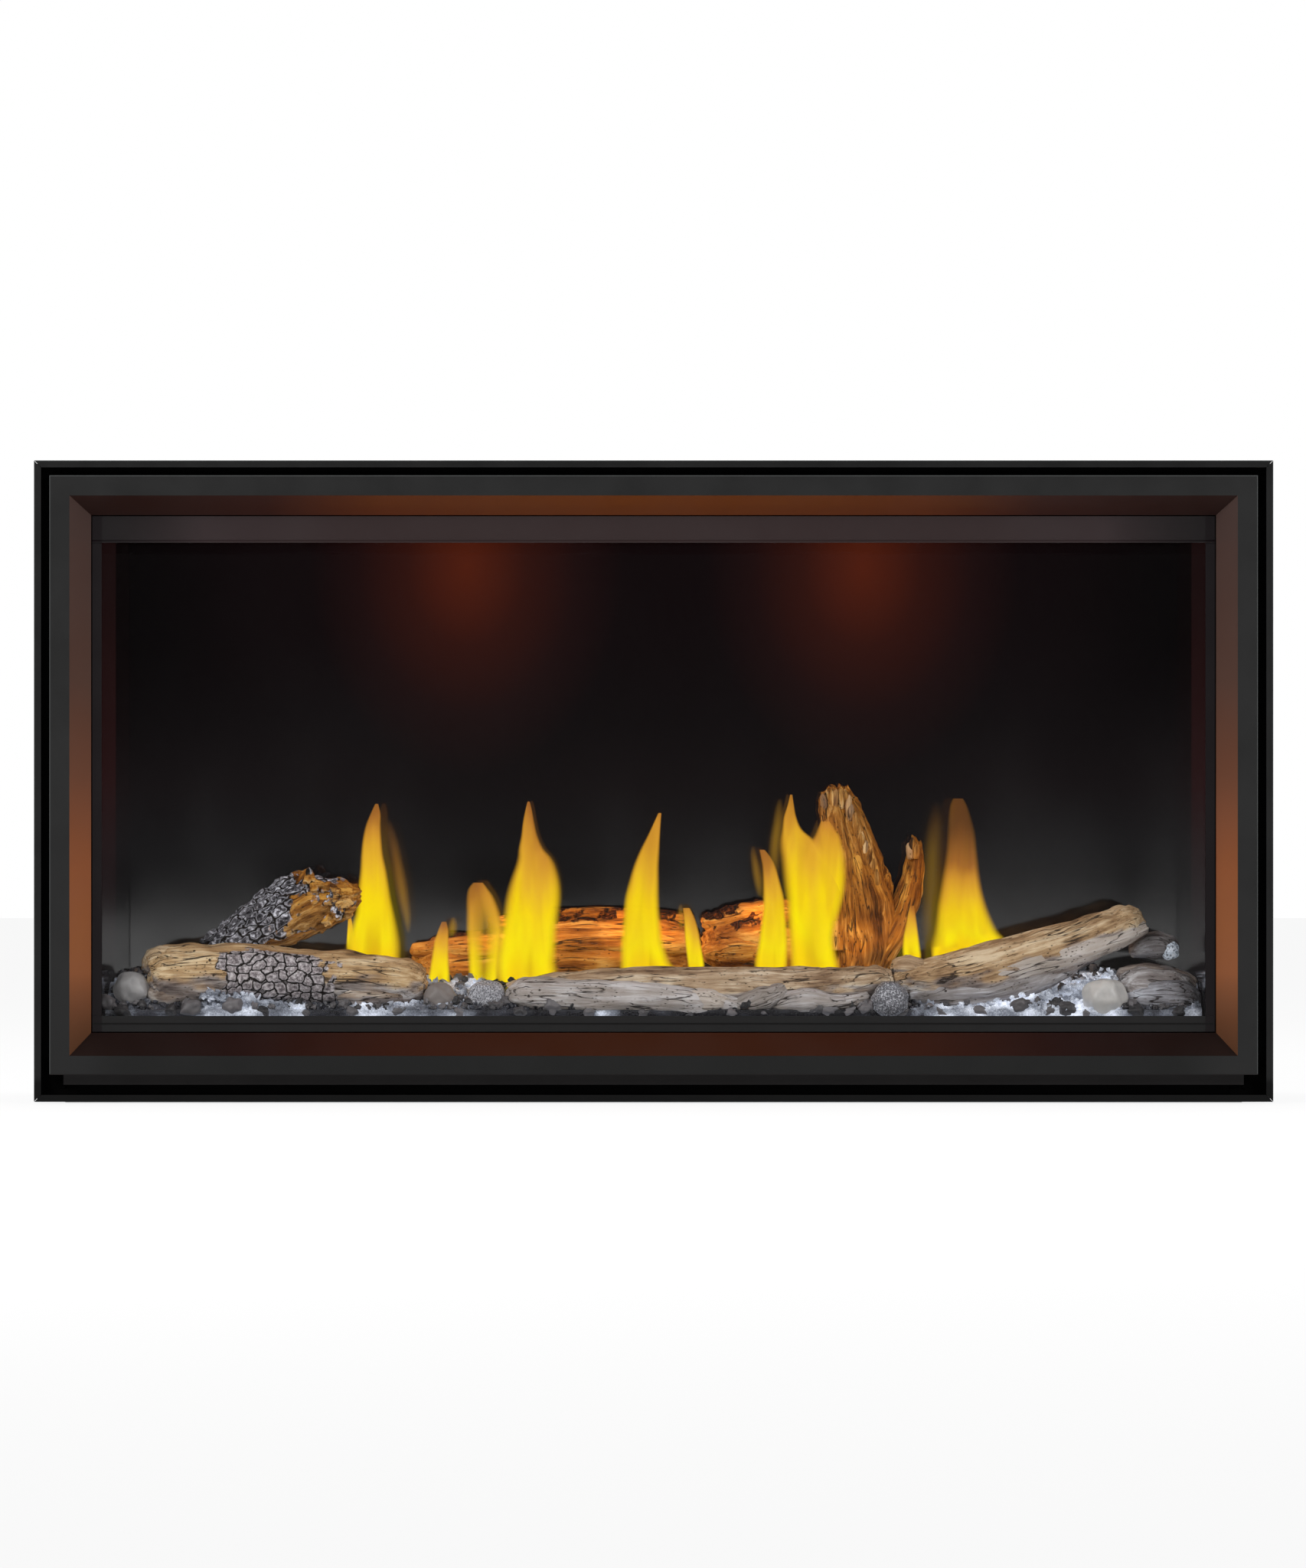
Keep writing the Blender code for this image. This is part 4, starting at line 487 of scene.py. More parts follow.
def face_look():
    """Charcoal outside, with the firelight's reflection painted copper on the reveal, a painted highlight
    along the outer edge and painted shade low down.
    """
    look = Look("charcoal_face", specular_ior_level=0.25)
    place, cloud = paint_skin(look, 0.38)
    across, _, up = look.split(place)
    nx, ny, nz = look.facing()
    wide = abs(across)
    base = look.mix(cloud, (26, 26, 26), (30, 30, 30))
    # Painted highlight: a pale line along the outer edge
    rim = edge_highlight_mask(look, across, up, FACE_HIGH.x, FACE_FLAT_LOW, FACE_HIGH.z)
    base = look.mix(rim, base, (66, 68, 68))
    # Painted shade: darker low on the bottom bar, towards its middle
    under = look.spread(up, *(FACE_FLAT_LOW + height for height in FACE_SHADOW)) * 0.6
    base = look.mix(under * look.spread(wide, *FACE_SHADOW_ENDS), base, (12, 13, 12))
    # Painted shade: the recessed lower lip darker
    base = look.mix(up < FACE_FLAT_LOW + FOOT_EDGE, base, (17, 13, 13))
    # Painted reflection of the firelight on the reveal: strongest low on its sides and in the middle of its
    # top
    side_firelight = look.ramp(
        look.spread(up, *REVEAL_SPAN),
        (0.0, 86, 54, 34), (0.06, 136, 82, 50), (0.25, 130, 76, 48),
        (0.48, 98, 62, 46), (0.72, 76, 54, 46), (1.0, 66, 50, 46),
    )
    out = look.spread(wide, 0.0, REVEAL_HALF)
    top_firelight = look.ramp(out, (0.0, 90, 44, 16), (0.45, 82, 38, 16), (0.75, 46, 20, 14), (1.0, 34, 16, 12))
    low_firelight = look.ramp(out, (0.0, 56, 26, 12), (0.45, 50, 22, 12), (0.8, 34, 15, 12), (1.0, 26, 14, 11))
    painted_light = look.mix(look.spread(nz * -1.0, 0.3, 0.5), low_firelight, top_firelight)
    painted_light = look.mix(look.spread(abs(nx), 0.3, 0.5), painted_light, side_firelight)
    steep = abs(ny)
    slant = look.spread(steep, 0.3, 0.45) * look.spread(steep, 0.9, 0.75)
    look.paint("Base Color", look.mix(slant, base, painted_light))
    return look


def door_look():
    look = Look("satin_black_door", specular_ior_level=0.2)
    place, cloud = paint_skin(look, 0.42)
    across, _, up = look.split(place)
    wide = abs(across)
    out = look.spread(wide, *DOOR_TOP_LIGHT_SPAN)
    # Painted light and shade on the top rail: lighter and brownish in the middle, dark at the ends
    top = look.ramp(out, (0.0, 44, 33, 33), (0.7, 44, 34, 35), (1.0, 22, 18, 19))
    low = look.mix(cloud, (24, 24, 24), (29, 28, 28))
    colour = look.mix(look.spread(up, *(VIEW_TOP - drop for drop in DOOR_TOP_EDGE)), low, top)
    is_side = look.spread(wide, VIEW_HALF - DOOR_SIDE_EDGE, VIEW_HALF)
    # Painted light: the stiles darker and redder than the rails
    colour = look.mix(is_side * 0.9, colour, (13, 5, 8))
    # Painted shade: a dark line along the groove in the bottom rail
    middle = (VIEW_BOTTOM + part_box("glass_rail_bottom")[0].z) / 2
    groove = look.spread(abs(up - middle), *DOOR_GROOVE)
    look.paint("Base Color", look.mix(groove * 0.85, colour, (10, 8, 8)))
    return look


def firebox_look():
    look = Look("firebox_paint", specular_ior_level=0.2)
    place, _ = paint_skin(look, 0.62, 0.00025)
    look.paint("Base Color", look.mix(look.noise(place, 6.0, 5.0), (24, 22, 22), (40, 37, 36)))
    return look


def galvanised_look():
    look = Look("galvanised_sheet", metallic=0.5)
    place = look.place()
    spangle = look.cells(look.stretched(place, (1.0, 1.0, 1.3)), 120.0, output="Color")
    flake, _, sheen = look.split(spangle)
    cloud = look.noise(place, 5.0, 4.0)
    colour = look.mix(flake, (136, 140, 144), (160, 164, 168))
    look.paint("Base Color", look.mix(look.spread(cloud, 0.35, 0.75, 0.0, 0.35), colour, (132, 128, 122)))
    look.paint("Roughness", look.spread(sheen, 0.0, 1.0, 0.60, 0.72))
    scratch = look.noise(look.stretched(place, (30.0, 30.0, 900.0)), 1.0, 2.0)
    look.paint("Normal", look.bump(scratch + flake, 0.25, 0.00012))
    return look


# Inside of the firebox, glass and gasket

# Heights above the view's bottom or below its top, and a reach across, for the light painted on the back
# liner, and the reach of each top lamp's painted glow
PAINTED_LIGHT_FOOT = 0.06
DIM_SPAN = (0.30, 0.10)
DIM_CORNER = 0.42
GLOW_DROP = 0.02
GLOW_HALF = (0.185, 0.25)


def porcelain(name, base):
    """Black enamel with a near mirror of the flames in it."""
    look = Look(name, ior=1.9)
    place = look.place()
    ripple = look.noise(look.stretched(place, (5.0, 5.0, 3.0)), 1.0, 2.0)
    look.paint("Base Color", look.mix(ripple, base, (9, 8, 8)))
    look.paint("Roughness", look.spread(ripple, 0.3, 0.7, 0.035, 0.075))
    look.paint("Normal", look.bump(ripple, 0.05, 0.001))
    # Emission strength 1, so that each liner's emission colour paints light on it
    look.paint("Emission Strength", 1.0)
    return look, look.split(place)


def liner_back_look():
    """The back, with light painted as emission: the two lamps' red glow high up, the cool light above the lit
    bed, and the painted light fading out in the top corners.
    """
    look, (across, _, up) = porcelain("porcelain_back", (4, 4, 4))
    # Painted light as emission: grey-blue low on the back, reddish higher up
    painted_back_light = look.ramp(
        look.spread(up, VIEW_BOTTOM + PAINTED_LIGHT_FOOT, VIEW_TOP),
        (0.0, 2, 2, 2), (0.18, 20, 19, 20), (0.38, 17, 13, 14), (0.62, 12, 8, 9), (1.0, 10, 3, 4),
    )
    # The painted light fades out in the top corners
    corner = look.spread(abs(across), VIEW_HALF, DIM_CORNER)
    high = look.spread(up, *(VIEW_TOP - drop for drop in DIM_SPAN))
    tone = look.mix(high * (1.0 - corner) * 0.9, painted_back_light, (2, 1, 1))
    # The painted red glow round each top lamp
    for node in TOP_LIGHTS:
        low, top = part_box(node)
        away = (across - (low.x + top.x) / 2) / GLOW_HALF[0]
        down = (up - (VIEW_TOP - GLOW_DROP)) / GLOW_HALF[1]
        near = 1.0 - look.maths("SQRT", away * away + down * down)
        spot = look.ramp(near, (0.0, 0, 0, 0), (0.30, 20, 5, 4), (0.62, 44, 13, 6), (1.0, 78, 26, 8))
        tone = look.mix(1.0, tone, spot, "ADD")
    look.paint("Emission Color", tone)
    return look


def liner_side_look():
    look, (_, _, up) = porcelain("porcelain_side", (5, 4, 4))
    # Painted light as emission: the red glow on the side liners, dim at the foot
    painted_light = look.ramp(
        look.spread(up, VIEW_BOTTOM, VIEW_TOP),
        (0.0, 10, 9, 10), (0.22, 24, 13, 14), (0.5, 31, 9, 9), (0.85, 28, 11, 11), (1.0, 22, 9, 9),
    )
    look.paint("Emission Color", painted_light)
    return look


def pane_look():
    """Clear ceramic glass with a faint mirror and a trace of dust."""
    look = Look("ceramic_glass", base_color=(0.01, 0.01, 0.011, 1.0), alpha=0.06)
    dust = look.noise(look.place(), 60.0, 5.0)
    look.paint("Roughness", look.spread(dust, 0.4, 0.8, 0.02, 0.10))
    return look


def gasket_look():
    look = Look("woven_gasket", roughness=0.95)
    place = look.place()
    slanted = look.stretched(place, (1.0, 1.0, 1.0), (0, math.radians(45), 0))
    twist = look.signal("TexWave", "Fac", {"Vector": slanted, "Scale": 260.0, "Distortion": 0.6})
    fuzz = look.noise(place, 1400.0, 3.0)
    look.paint("Base Color", look.mix(twist * fuzz, (40, 39, 37), (112, 108, 102)))
    look.paint("Normal", look.bump(twist, 0.8, 0.0008))
    return look


# Small metal and plastic parts


def metal_look(name, dark, pale, roughness, metallic=1.0, scale=40.0, stretch=(1.0, 1.0, 8.0)):
    """Drawn, turned or cast metal with fine lines and a little tarnish."""
    look = Look(name, metallic=metallic)
    place = look.place()
    lines = look.noise(look.stretched(place, stretch), scale * 6, 3.0)
    cloud = look.noise(place, scale, 4.0)
    look.paint("Base Color", look.mix(look.spread(cloud, 0.3, 0.7), dark, pale))
    look.paint("Roughness", look.spread(lines, 0.25, 0.75, roughness - 0.08, roughness + 0.12))
    look.paint("Normal", look.bump(lines, 0.2, 0.0001))
    return look


def plastic_look(name, dark, pale, roughness):
    look = Look(name)
    place = look.place()
    grain = look.noise(place, 1500.0, 2.0)
    cloud = look.noise(place, 30.0, 3.0)
    look.paint("Base Color", look.mix(cloud, dark, pale))
    look.paint("Roughness", look.spread(cloud, 0.3, 0.7, roughness - 0.05, roughness + 0.08))
    look.paint("Normal", look.bump(grain, 0.4, 0.00015))
    return look


def strip_look():
    """The frosted cover of the light strip."""
    look = Look("light_strip", roughness=0.4, emission_color=(220, 234, 255), emission_strength=0.3)
    grain = look.noise(look.place(), 300.0, 2.0)
    look.paint("Base Color", look.mix(grain, (214, 220, 228), (236, 240, 246)))
    look.paint("Normal", look.bump(grain, 0.2, 0.0002))
    return look


# Where the light under the crushed glass shows, from left to right across the view: place and share
LIT_PATCHES = (
    (-0.632, 0.60), (-0.600, 0.50), (-0.540, 0.30), (-0.515, 0.95), (-0.400, 0.85), (-0.385, 0.2),
    (-0.335, 0.9), (-0.262, 0.8), (-0.225, 0.9), (-0.190, 0.2), (-0.080, 0.15), (-0.058, 0.9),
    (-0.035, 0.1), (0.150, 0.05), (0.290, 0.1), (0.310, 0.9), (0.360, 1.0), (0.540, 1.0),
    (0.565, 0.4), (0.610, 0.9), (0.632, 0.6),
)


def ember_look(name, strength, fleck):
    """Crushed clear glass, bright where the light under it comes through."""
    look = Look(name, roughness=0.16)
    place = look.place()
    across, _, _ = look.split(place)
    (first, first_share), *inner, (last, last_share) = LIT_PATCHES
    lit = look.node("FloatCurve")
    curve = lit.mapping.curves[0]
    for x, share in inner:
        curve.points.new((x - first) / (last - first), share)
    curve.points[0].location.y = first_share
    curve.points[-1].location.y = last_share
    lit.mapping.update()
    wobble = (look.noise(place, 40.0, 2.0) - 0.5) * 0.04
    look.feed(lit, "Value", look.ranged(across + wobble, first, last))
    patch = look.noise(look.stretched(place, (26.0, 26.0, 50.0)), 1.0, 3.0)
    sparkle = look.noise(place, fleck, 2.0)
    bright = Signal(look, lit.outputs[0]) + (patch - 0.5) * 1.6
    stops = (0.22, 30, 29, 32), (0.46, 66, 67, 74), (0.70, 138, 143, 154), (0.95, 232, 238, 250)
    tone = look.ramp(bright * 0.6 + sparkle * 0.4, *stops)
    # The light that comes through from below is painted into the base colour and as emission
    look.paint("Base Color", tone)
    look.paint("Emission Color", tone)
    look.paint("Emission Strength", look.spread(bright, 0.55, 1.25) * strength)
    look.paint("Normal", look.bump(sparkle, 0.4, 0.001))
    return look


# Driftwood: its material

CHAR_RADIUS = 0.030
GRAIN_STOPS = (0.33, 0.42, 0.52, 0.62)
CHAR_STOPS = (0.36, 0.52, 0.66)


def wood_look(name, beige, grey, char, block, glow=None):
    """Weathered grain along each log. The tone of a point goes from beige to grey, and its burn to char.
    Faces that look down turn grey and tones above 1 turn pale with painted light, and a glow paints firelight
    as emission.
    """
    look = Look(name, roughness=0.85, specular_ior_level=0.2)
    along = look.stored("straight", "Vector")
    tone = look.stored("tone")
    fine = look.noise(look.stretched(along, (26.0, 300.0, 300.0)), 1.0, 5.0, 0.6, 0.3)
    broad = look.noise(look.stretched(along, (7.0, 60.0, 60.0)), 1.0, 4.0, 0.5, 0.8)
    blotch = look.noise(along, 30.0, 3.0)
    grain = fine * 0.45 + broad * 0.55
    level = grain + (blotch - 0.5) * 0.30
    warm, cold = (
        look.ramp(level, *((stop, *colour) for stop, colour in zip(GRAIN_STOPS, colours)))
        for colours in (beige, grey)
    )
    _, _, up = look.facing()
    # Painted light and shade by facing: faces that look down take the cool grey ramp
    painted_underside_light = look.spread(up + blotch * 0.9, 0.62, 0.05) * 0.75
    colour = look.mix(look.larger(tone, painted_underside_light), warm, cold)
    # Painted light: tones above 1 turn pale
    colour = look.mix(look.ranged(tone, 1.0, 2.0), colour, (216, 200, 182))

    check = look.lines(along, (10.0, 110.0, 110.0), 0.4, 0.020, 0.005)
    check *= look.patches(along, 26.0, 2.0, 0.42, 0.56)
    hair = look.lines(along, (16.0, 250.0, 250.0), 0.3, 0.022, 0.004)
    hair *= look.patches(along, 38.0, 2.0, 0.44, 0.54)
    hole = look.spread(look.cells(along, 60.0), 0.11, 0.07) * look.patches(along, 14.0, 1.0, 0.50, 0.56)
    pit = look.cells(look.stretched(along, (0.5, 1.0, 1.0)), 330.0)
    pit = look.spread(pit, 0.25, 0.14) * look.patches(along, 46.0, 3.0, 0.47, 0.56)
    dark_spot = look.larger(check, hole)
    colour = look.mix(hair * 0.45, colour, (74, 56, 42))
    colour = look.mix(pit * 0.70, colour, (60, 46, 36))
    colour = look.mix(dark_spot * 0.88, colour, (36, 26, 20))

    plate, crack = char_plates(look, along, char, block)
    ragged = look.noise(along, 75.0, 3.0) + blotch
    burnt = look.spread(look.stored("burn") + (ragged - 1.0) * 1.3, 0.42, 0.56)
    colour = look.mix(burnt, colour, plate)
    look.paint("Base Color", colour)
    height = look.blend(burnt, grain - look.larger(dark_spot, pit) * 0.7, fine * 0.5 - crack)
    look.paint("Normal", look.bump(height, 0.9, 0.0018))
    # Painted firelight as emission, in the glow's colour and strength
    if glow:
        look.paint("Emission Color", look.mix(1.0, colour, glow[0], "MULTIPLY"))
        look.paint("Emission Strength", glow[1])
    return look


def char_plates(look, along, char, block):
    """The colour of charred wood, split into blocks round the log, with a painted highlight near each block's
    edge, and the cracks between them.
    """
    length, deep, high = look.split(along)
    around = look.maths("ARCTAN2", high, deep * -1.0) * CHAR_RADIUS
    flat = look.signal("CombineXYZ", 0, {"X": length, "Y": around})
    bent = look.stretched(flat, (block * 0.85, block * 1.15, 1.0))
    gap = look.gap_between_blocks(look.shifted(bent, along, block * 0.8, 0.8), 0.8)
    crack = look.spread(gap, 0.19, 0.05)
    stops = ((stop, *colour) for stop, colour in zip(CHAR_STOPS, char))
    plate = look.ramp(look.noise(along, block * 3.2, 4.0), *stops)
    # Painted highlight: each block paler near its edges
    plate = look.mix(look.spread(gap, 0.34, 0.18) * 0.35, plate, char[-1])
    return look.mix(crack, plate, (30, 24, 21)), crack


# Driftwood: its shape

CAD_ROUGHNESS = 0.13
CAD_CYCLES = 2.3
THINNEST = 0.001
CAP_SHARES = (0.85, 0.65, 0.45, 0.25, 0.08)


def smooth_rows(rows, steps):
    """Rows between the given ones on a smooth curve, each with its place along the list."""
    dense = []
    for index in range(len(rows) - 1):
        before = rows[max(index - 1, 0)]
        here, after = rows[index], rows[index + 1]
        later = rows[min(index + 2, len(rows) - 1)]
        for step in range(steps):
            t = step / steps
            row = []
            for a, b, c, d in zip(before, here, after, later):
                value = 2 * b + (c - a) * t + (2 * a - 5 * b + 4 * c - d) * t**2
                value += (3 * b - a - 3 * c + d) * t**3
                row.append(value / 2)
            dense.append((index + t, row))
    dense.append((len(rows) - 1, rows[-1]))
    return dense


def bed_rows(rows):
    """Rows of shares, as the CAD source has them, as places and radii."""
    made = []
    for across, deep, up, thick in rows:
        y = FRONT_Y + BED_FRONT + deep * BED_DEPTH
        place = Vector((across * VIEW_HALF, y, VIEW_BOTTOM + up * VIEW_HEIGHT))
        made.append((*place, thick * VIEW_HEIGHT))
    return made


def photo_rows(rows):
    """Rows of across, down, depth and radius, in pixels but for the depth, as places and radii."""
    return [(*photo_place(*row[:3]), row[3] * PIXEL) for row in rows]


def weathered(groove, swell, pitch=70.0):
    """Long checks between low ridges."""

    def style(flat, _burn):
        wave = noise.noise(Vector((flat.x * 9, flat.y * pitch, flat.z * pitch)))
        fine = noise.noise(Vector((flat.x * 34, flat.y * pitch * 3.3, flat.z * pitch * 3.3)))
        open_here = max(0.0, noise.noise(flat * 21 + Vector((5, 5, 5))) + 0.35)
        crack = max(0.0, 1 - abs(wave) / 0.09) * open_here
        return swell * (wave + 0.6 * noise.noise(flat * 24)) + groove * (0.30 * fine - crack)

    return style


def charred(depth, cell):
    """Blocks of char split by deep cracks, as far as the wood is burnt."""
    plain = weathered(0.0016, 0.0016)

    def style(flat, burn):
        if burn < 0.05:
            return plain(flat, burn)
        sample = flat * cell + 0.35 * noise.noise_vector(flat * cell * 0.6)
        near = noise.voronoi(sample, distance_metric="CHEBYCHEV")[0]
        crack = min(1.0, (near[1] - near[0]) / 0.30)
        block = depth * (crack - 0.55) + noise.noise(flat * 300) * depth * 0.3
        return plain(flat, burn) * (1 - burn) + block * burn

    return style


def limb(rows, seed, style, flatten=1.0, ends=(0.002, 0.002), tone=0.0, burn=None, sides=56, ring=0.0036):
    """One limb of driftwood through these places and radii: points, faces and stored values."""
    places = [Vector(row[:3]) for row in rows]
    length = sum((b - a).length for a, b in zip(places, places[1:]))
    dense = smooth_rows(rows, max(2, round(length / ring / (len(rows) - 1))))
    spine = [Vector(row[:3]) for _, row in dense]
    shift = Vector((seed, seed, seed))
    points, faces, straight, burns, rings = [], [], [], [], []
    travelled = 0.0
    for index, (count, row) in enumerate(dense):
        before, after = spine[max(index - 1, 0)], spine[min(index + 1, len(spine) - 1)]
        ahead = (after - before).normalized()
        deep = Vector((0, 1, 0))
        deep = (deep - ahead * ahead.dot(deep)).normalized()
        side = ahead.cross(deep)
        if index:
            travelled += (spine[index] - spine[index - 1]).length
        radius = max(row[3], THINNEST)
        rings.append(range(len(points), len(points) + sides))
        for step in range(sides):
            angle = 2 * math.pi * step / sides
            offset = math.cos(angle) * flatten * deep + math.sin(angle) * side
            rough = 1 + CAD_ROUGHNESS * noise.noise((offset + ahead * count) * CAD_CYCLES + shift)
            flat = Vector((travelled + seed * 1.7, math.cos(angle) * radius, math.sin(angle) * radius))
            burnt = burn(travelled / length, math.sin(angle), math.cos(angle)) if burn else 0.0
            points.append(spine[index] + offset * (radius * rough + style(flat, burnt)))
            straight.append(flat)
            burns.append(burnt)
    for one, two in zip(rings, rings[1:]):
        faces += band(one, two)
    lists = points, faces, straight, burns
    close_end(lists, rings[0], spine[1], False, ends[0], shift)
    close_end(lists, rings[-1], spine[-2], True, ends[1], shift)
    return points, faces, {"straight": straight, "burn": burns, "tone": [tone] * len(points)}


def close_end(lists, loop, inner, outward, jag, shift):
    """Closes a limb's end with ever smaller rings that stand out raggedly, as broken wood does."""
    points, faces, straight, burns = lists
    middle = sum((points[index] for index in loop), Vector()) / len(loop)
    away = (middle - inner).normalized()
    last = loop
    for share in CAP_SHARES:
        fresh = range(len(points), len(points) + len(loop))
        for index in loop:
            point = middle + (points[index] - middle) * share
            bite = noise.noise(point * 210 + shift) * jag + jag * 0.8 * (1 - share)
            points.append(point + away * bite)
            core = straight[index]
            straight.append(Vector((core.x + bite, core.y * share, core.z * share)))
            burns.append(burns[index])
        faces += band(last, fresh, outward)
        last = fresh
    faces.append(tuple(last) if outward else tuple(reversed(last)))


# Logs, in the same shares as the CAD source: across, deep, up and thickness
LOGS = {
    "front_left_log": (
        (-0.913, 0.170, 0.074, 0.050), (-0.885, 0.170, 0.080, 0.064), (-0.780, 0.172, 0.084, 0.066),
        (-0.640, 0.172, 0.078, 0.061), (-0.520, 0.165, 0.072, 0.057), (-0.445, 0.160, 0.066, 0.050),
        (-0.418, 0.158, 0.064, 0.036),
    ),
    "front_centre_log": (
        (-0.258, 0.150, 0.036, 0.028), (-0.235, 0.150, 0.040, 0.038), (-0.110, 0.148, 0.046, 0.050),
        (0.060, 0.146, 0.048, 0.055), (0.230, 0.146, 0.050, 0.053), (0.350, 0.150, 0.060, 0.040),
        (0.412, 0.156, 0.070, 0.032), (0.436, 0.158, 0.076, 0.020),
    ),
    "front_right_log": (
        (0.442, 0.176, 0.064, 0.026), (0.470, 0.172, 0.068, 0.040), (0.530, 0.164, 0.074, 0.052),
        (0.620, 0.168, 0.096, 0.058), (0.730, 0.180, 0.132, 0.054), (0.815, 0.215, 0.170, 0.047),
        (0.868, 0.235, 0.196, 0.036), (0.892, 0.242, 0.204, 0.018),
    ),
    "right_end_log": (
        (0.850, 0.150, 0.058, 0.026), (0.880, 0.155, 0.056, 0.046), (0.940, 0.160, 0.050, 0.050),
        (0.975, 0.162, 0.048, 0.036),
    ),
    "rear_left_log": (
        (-0.890, 0.470, 0.078, 0.020), (-0.830, 0.430, 0.106, 0.028), (-0.760, 0.390, 0.150, 0.036),
        (-0.695, 0.375, 0.184, 0.045), (-0.632, 0.365, 0.228, 0.060), (-0.578, 0.360, 0.244, 0.046),
        (-0.548, 0.355, 0.250, 0.028),
    ),
    "rear_centre_log": (
        (-0.442, 0.760, 0.114, 0.020), (-0.405, 0.760, 0.108, 0.052), (-0.300, 0.760, 0.114, 0.060),
        (-0.180, 0.762, 0.130, 0.074), (-0.040, 0.764, 0.132, 0.077), (0.050, 0.766, 0.128, 0.068),
        (0.082, 0.766, 0.124, 0.048),
    ),
    "stub_log": (
        (0.096, 0.640, 0.158, 0.034), (0.118, 0.640, 0.154, 0.062), (0.175, 0.640, 0.156, 0.080),
        (0.240, 0.640, 0.158, 0.084), (0.272, 0.640, 0.156, 0.070),
    ),
    "forked_log": (
        (0.380, 0.660, 0.076, 0.060), (0.388, 0.660, 0.130, 0.068), (0.383, 0.662, 0.214, 0.072),
        (0.369, 0.664, 0.308, 0.066), (0.351, 0.668, 0.400, 0.050), (0.341, 0.670, 0.452, 0.042),
        (0.340, 0.670, 0.474, 0.030),
    ),
}
PRONG = (
    (0.391, 0.660, 0.096, 0.038), (0.434, 0.660, 0.168, 0.036), (0.467, 0.662, 0.243, 0.029),
    (0.480, 0.664, 0.310, 0.023), (0.484, 0.664, 0.362, 0.015),
)

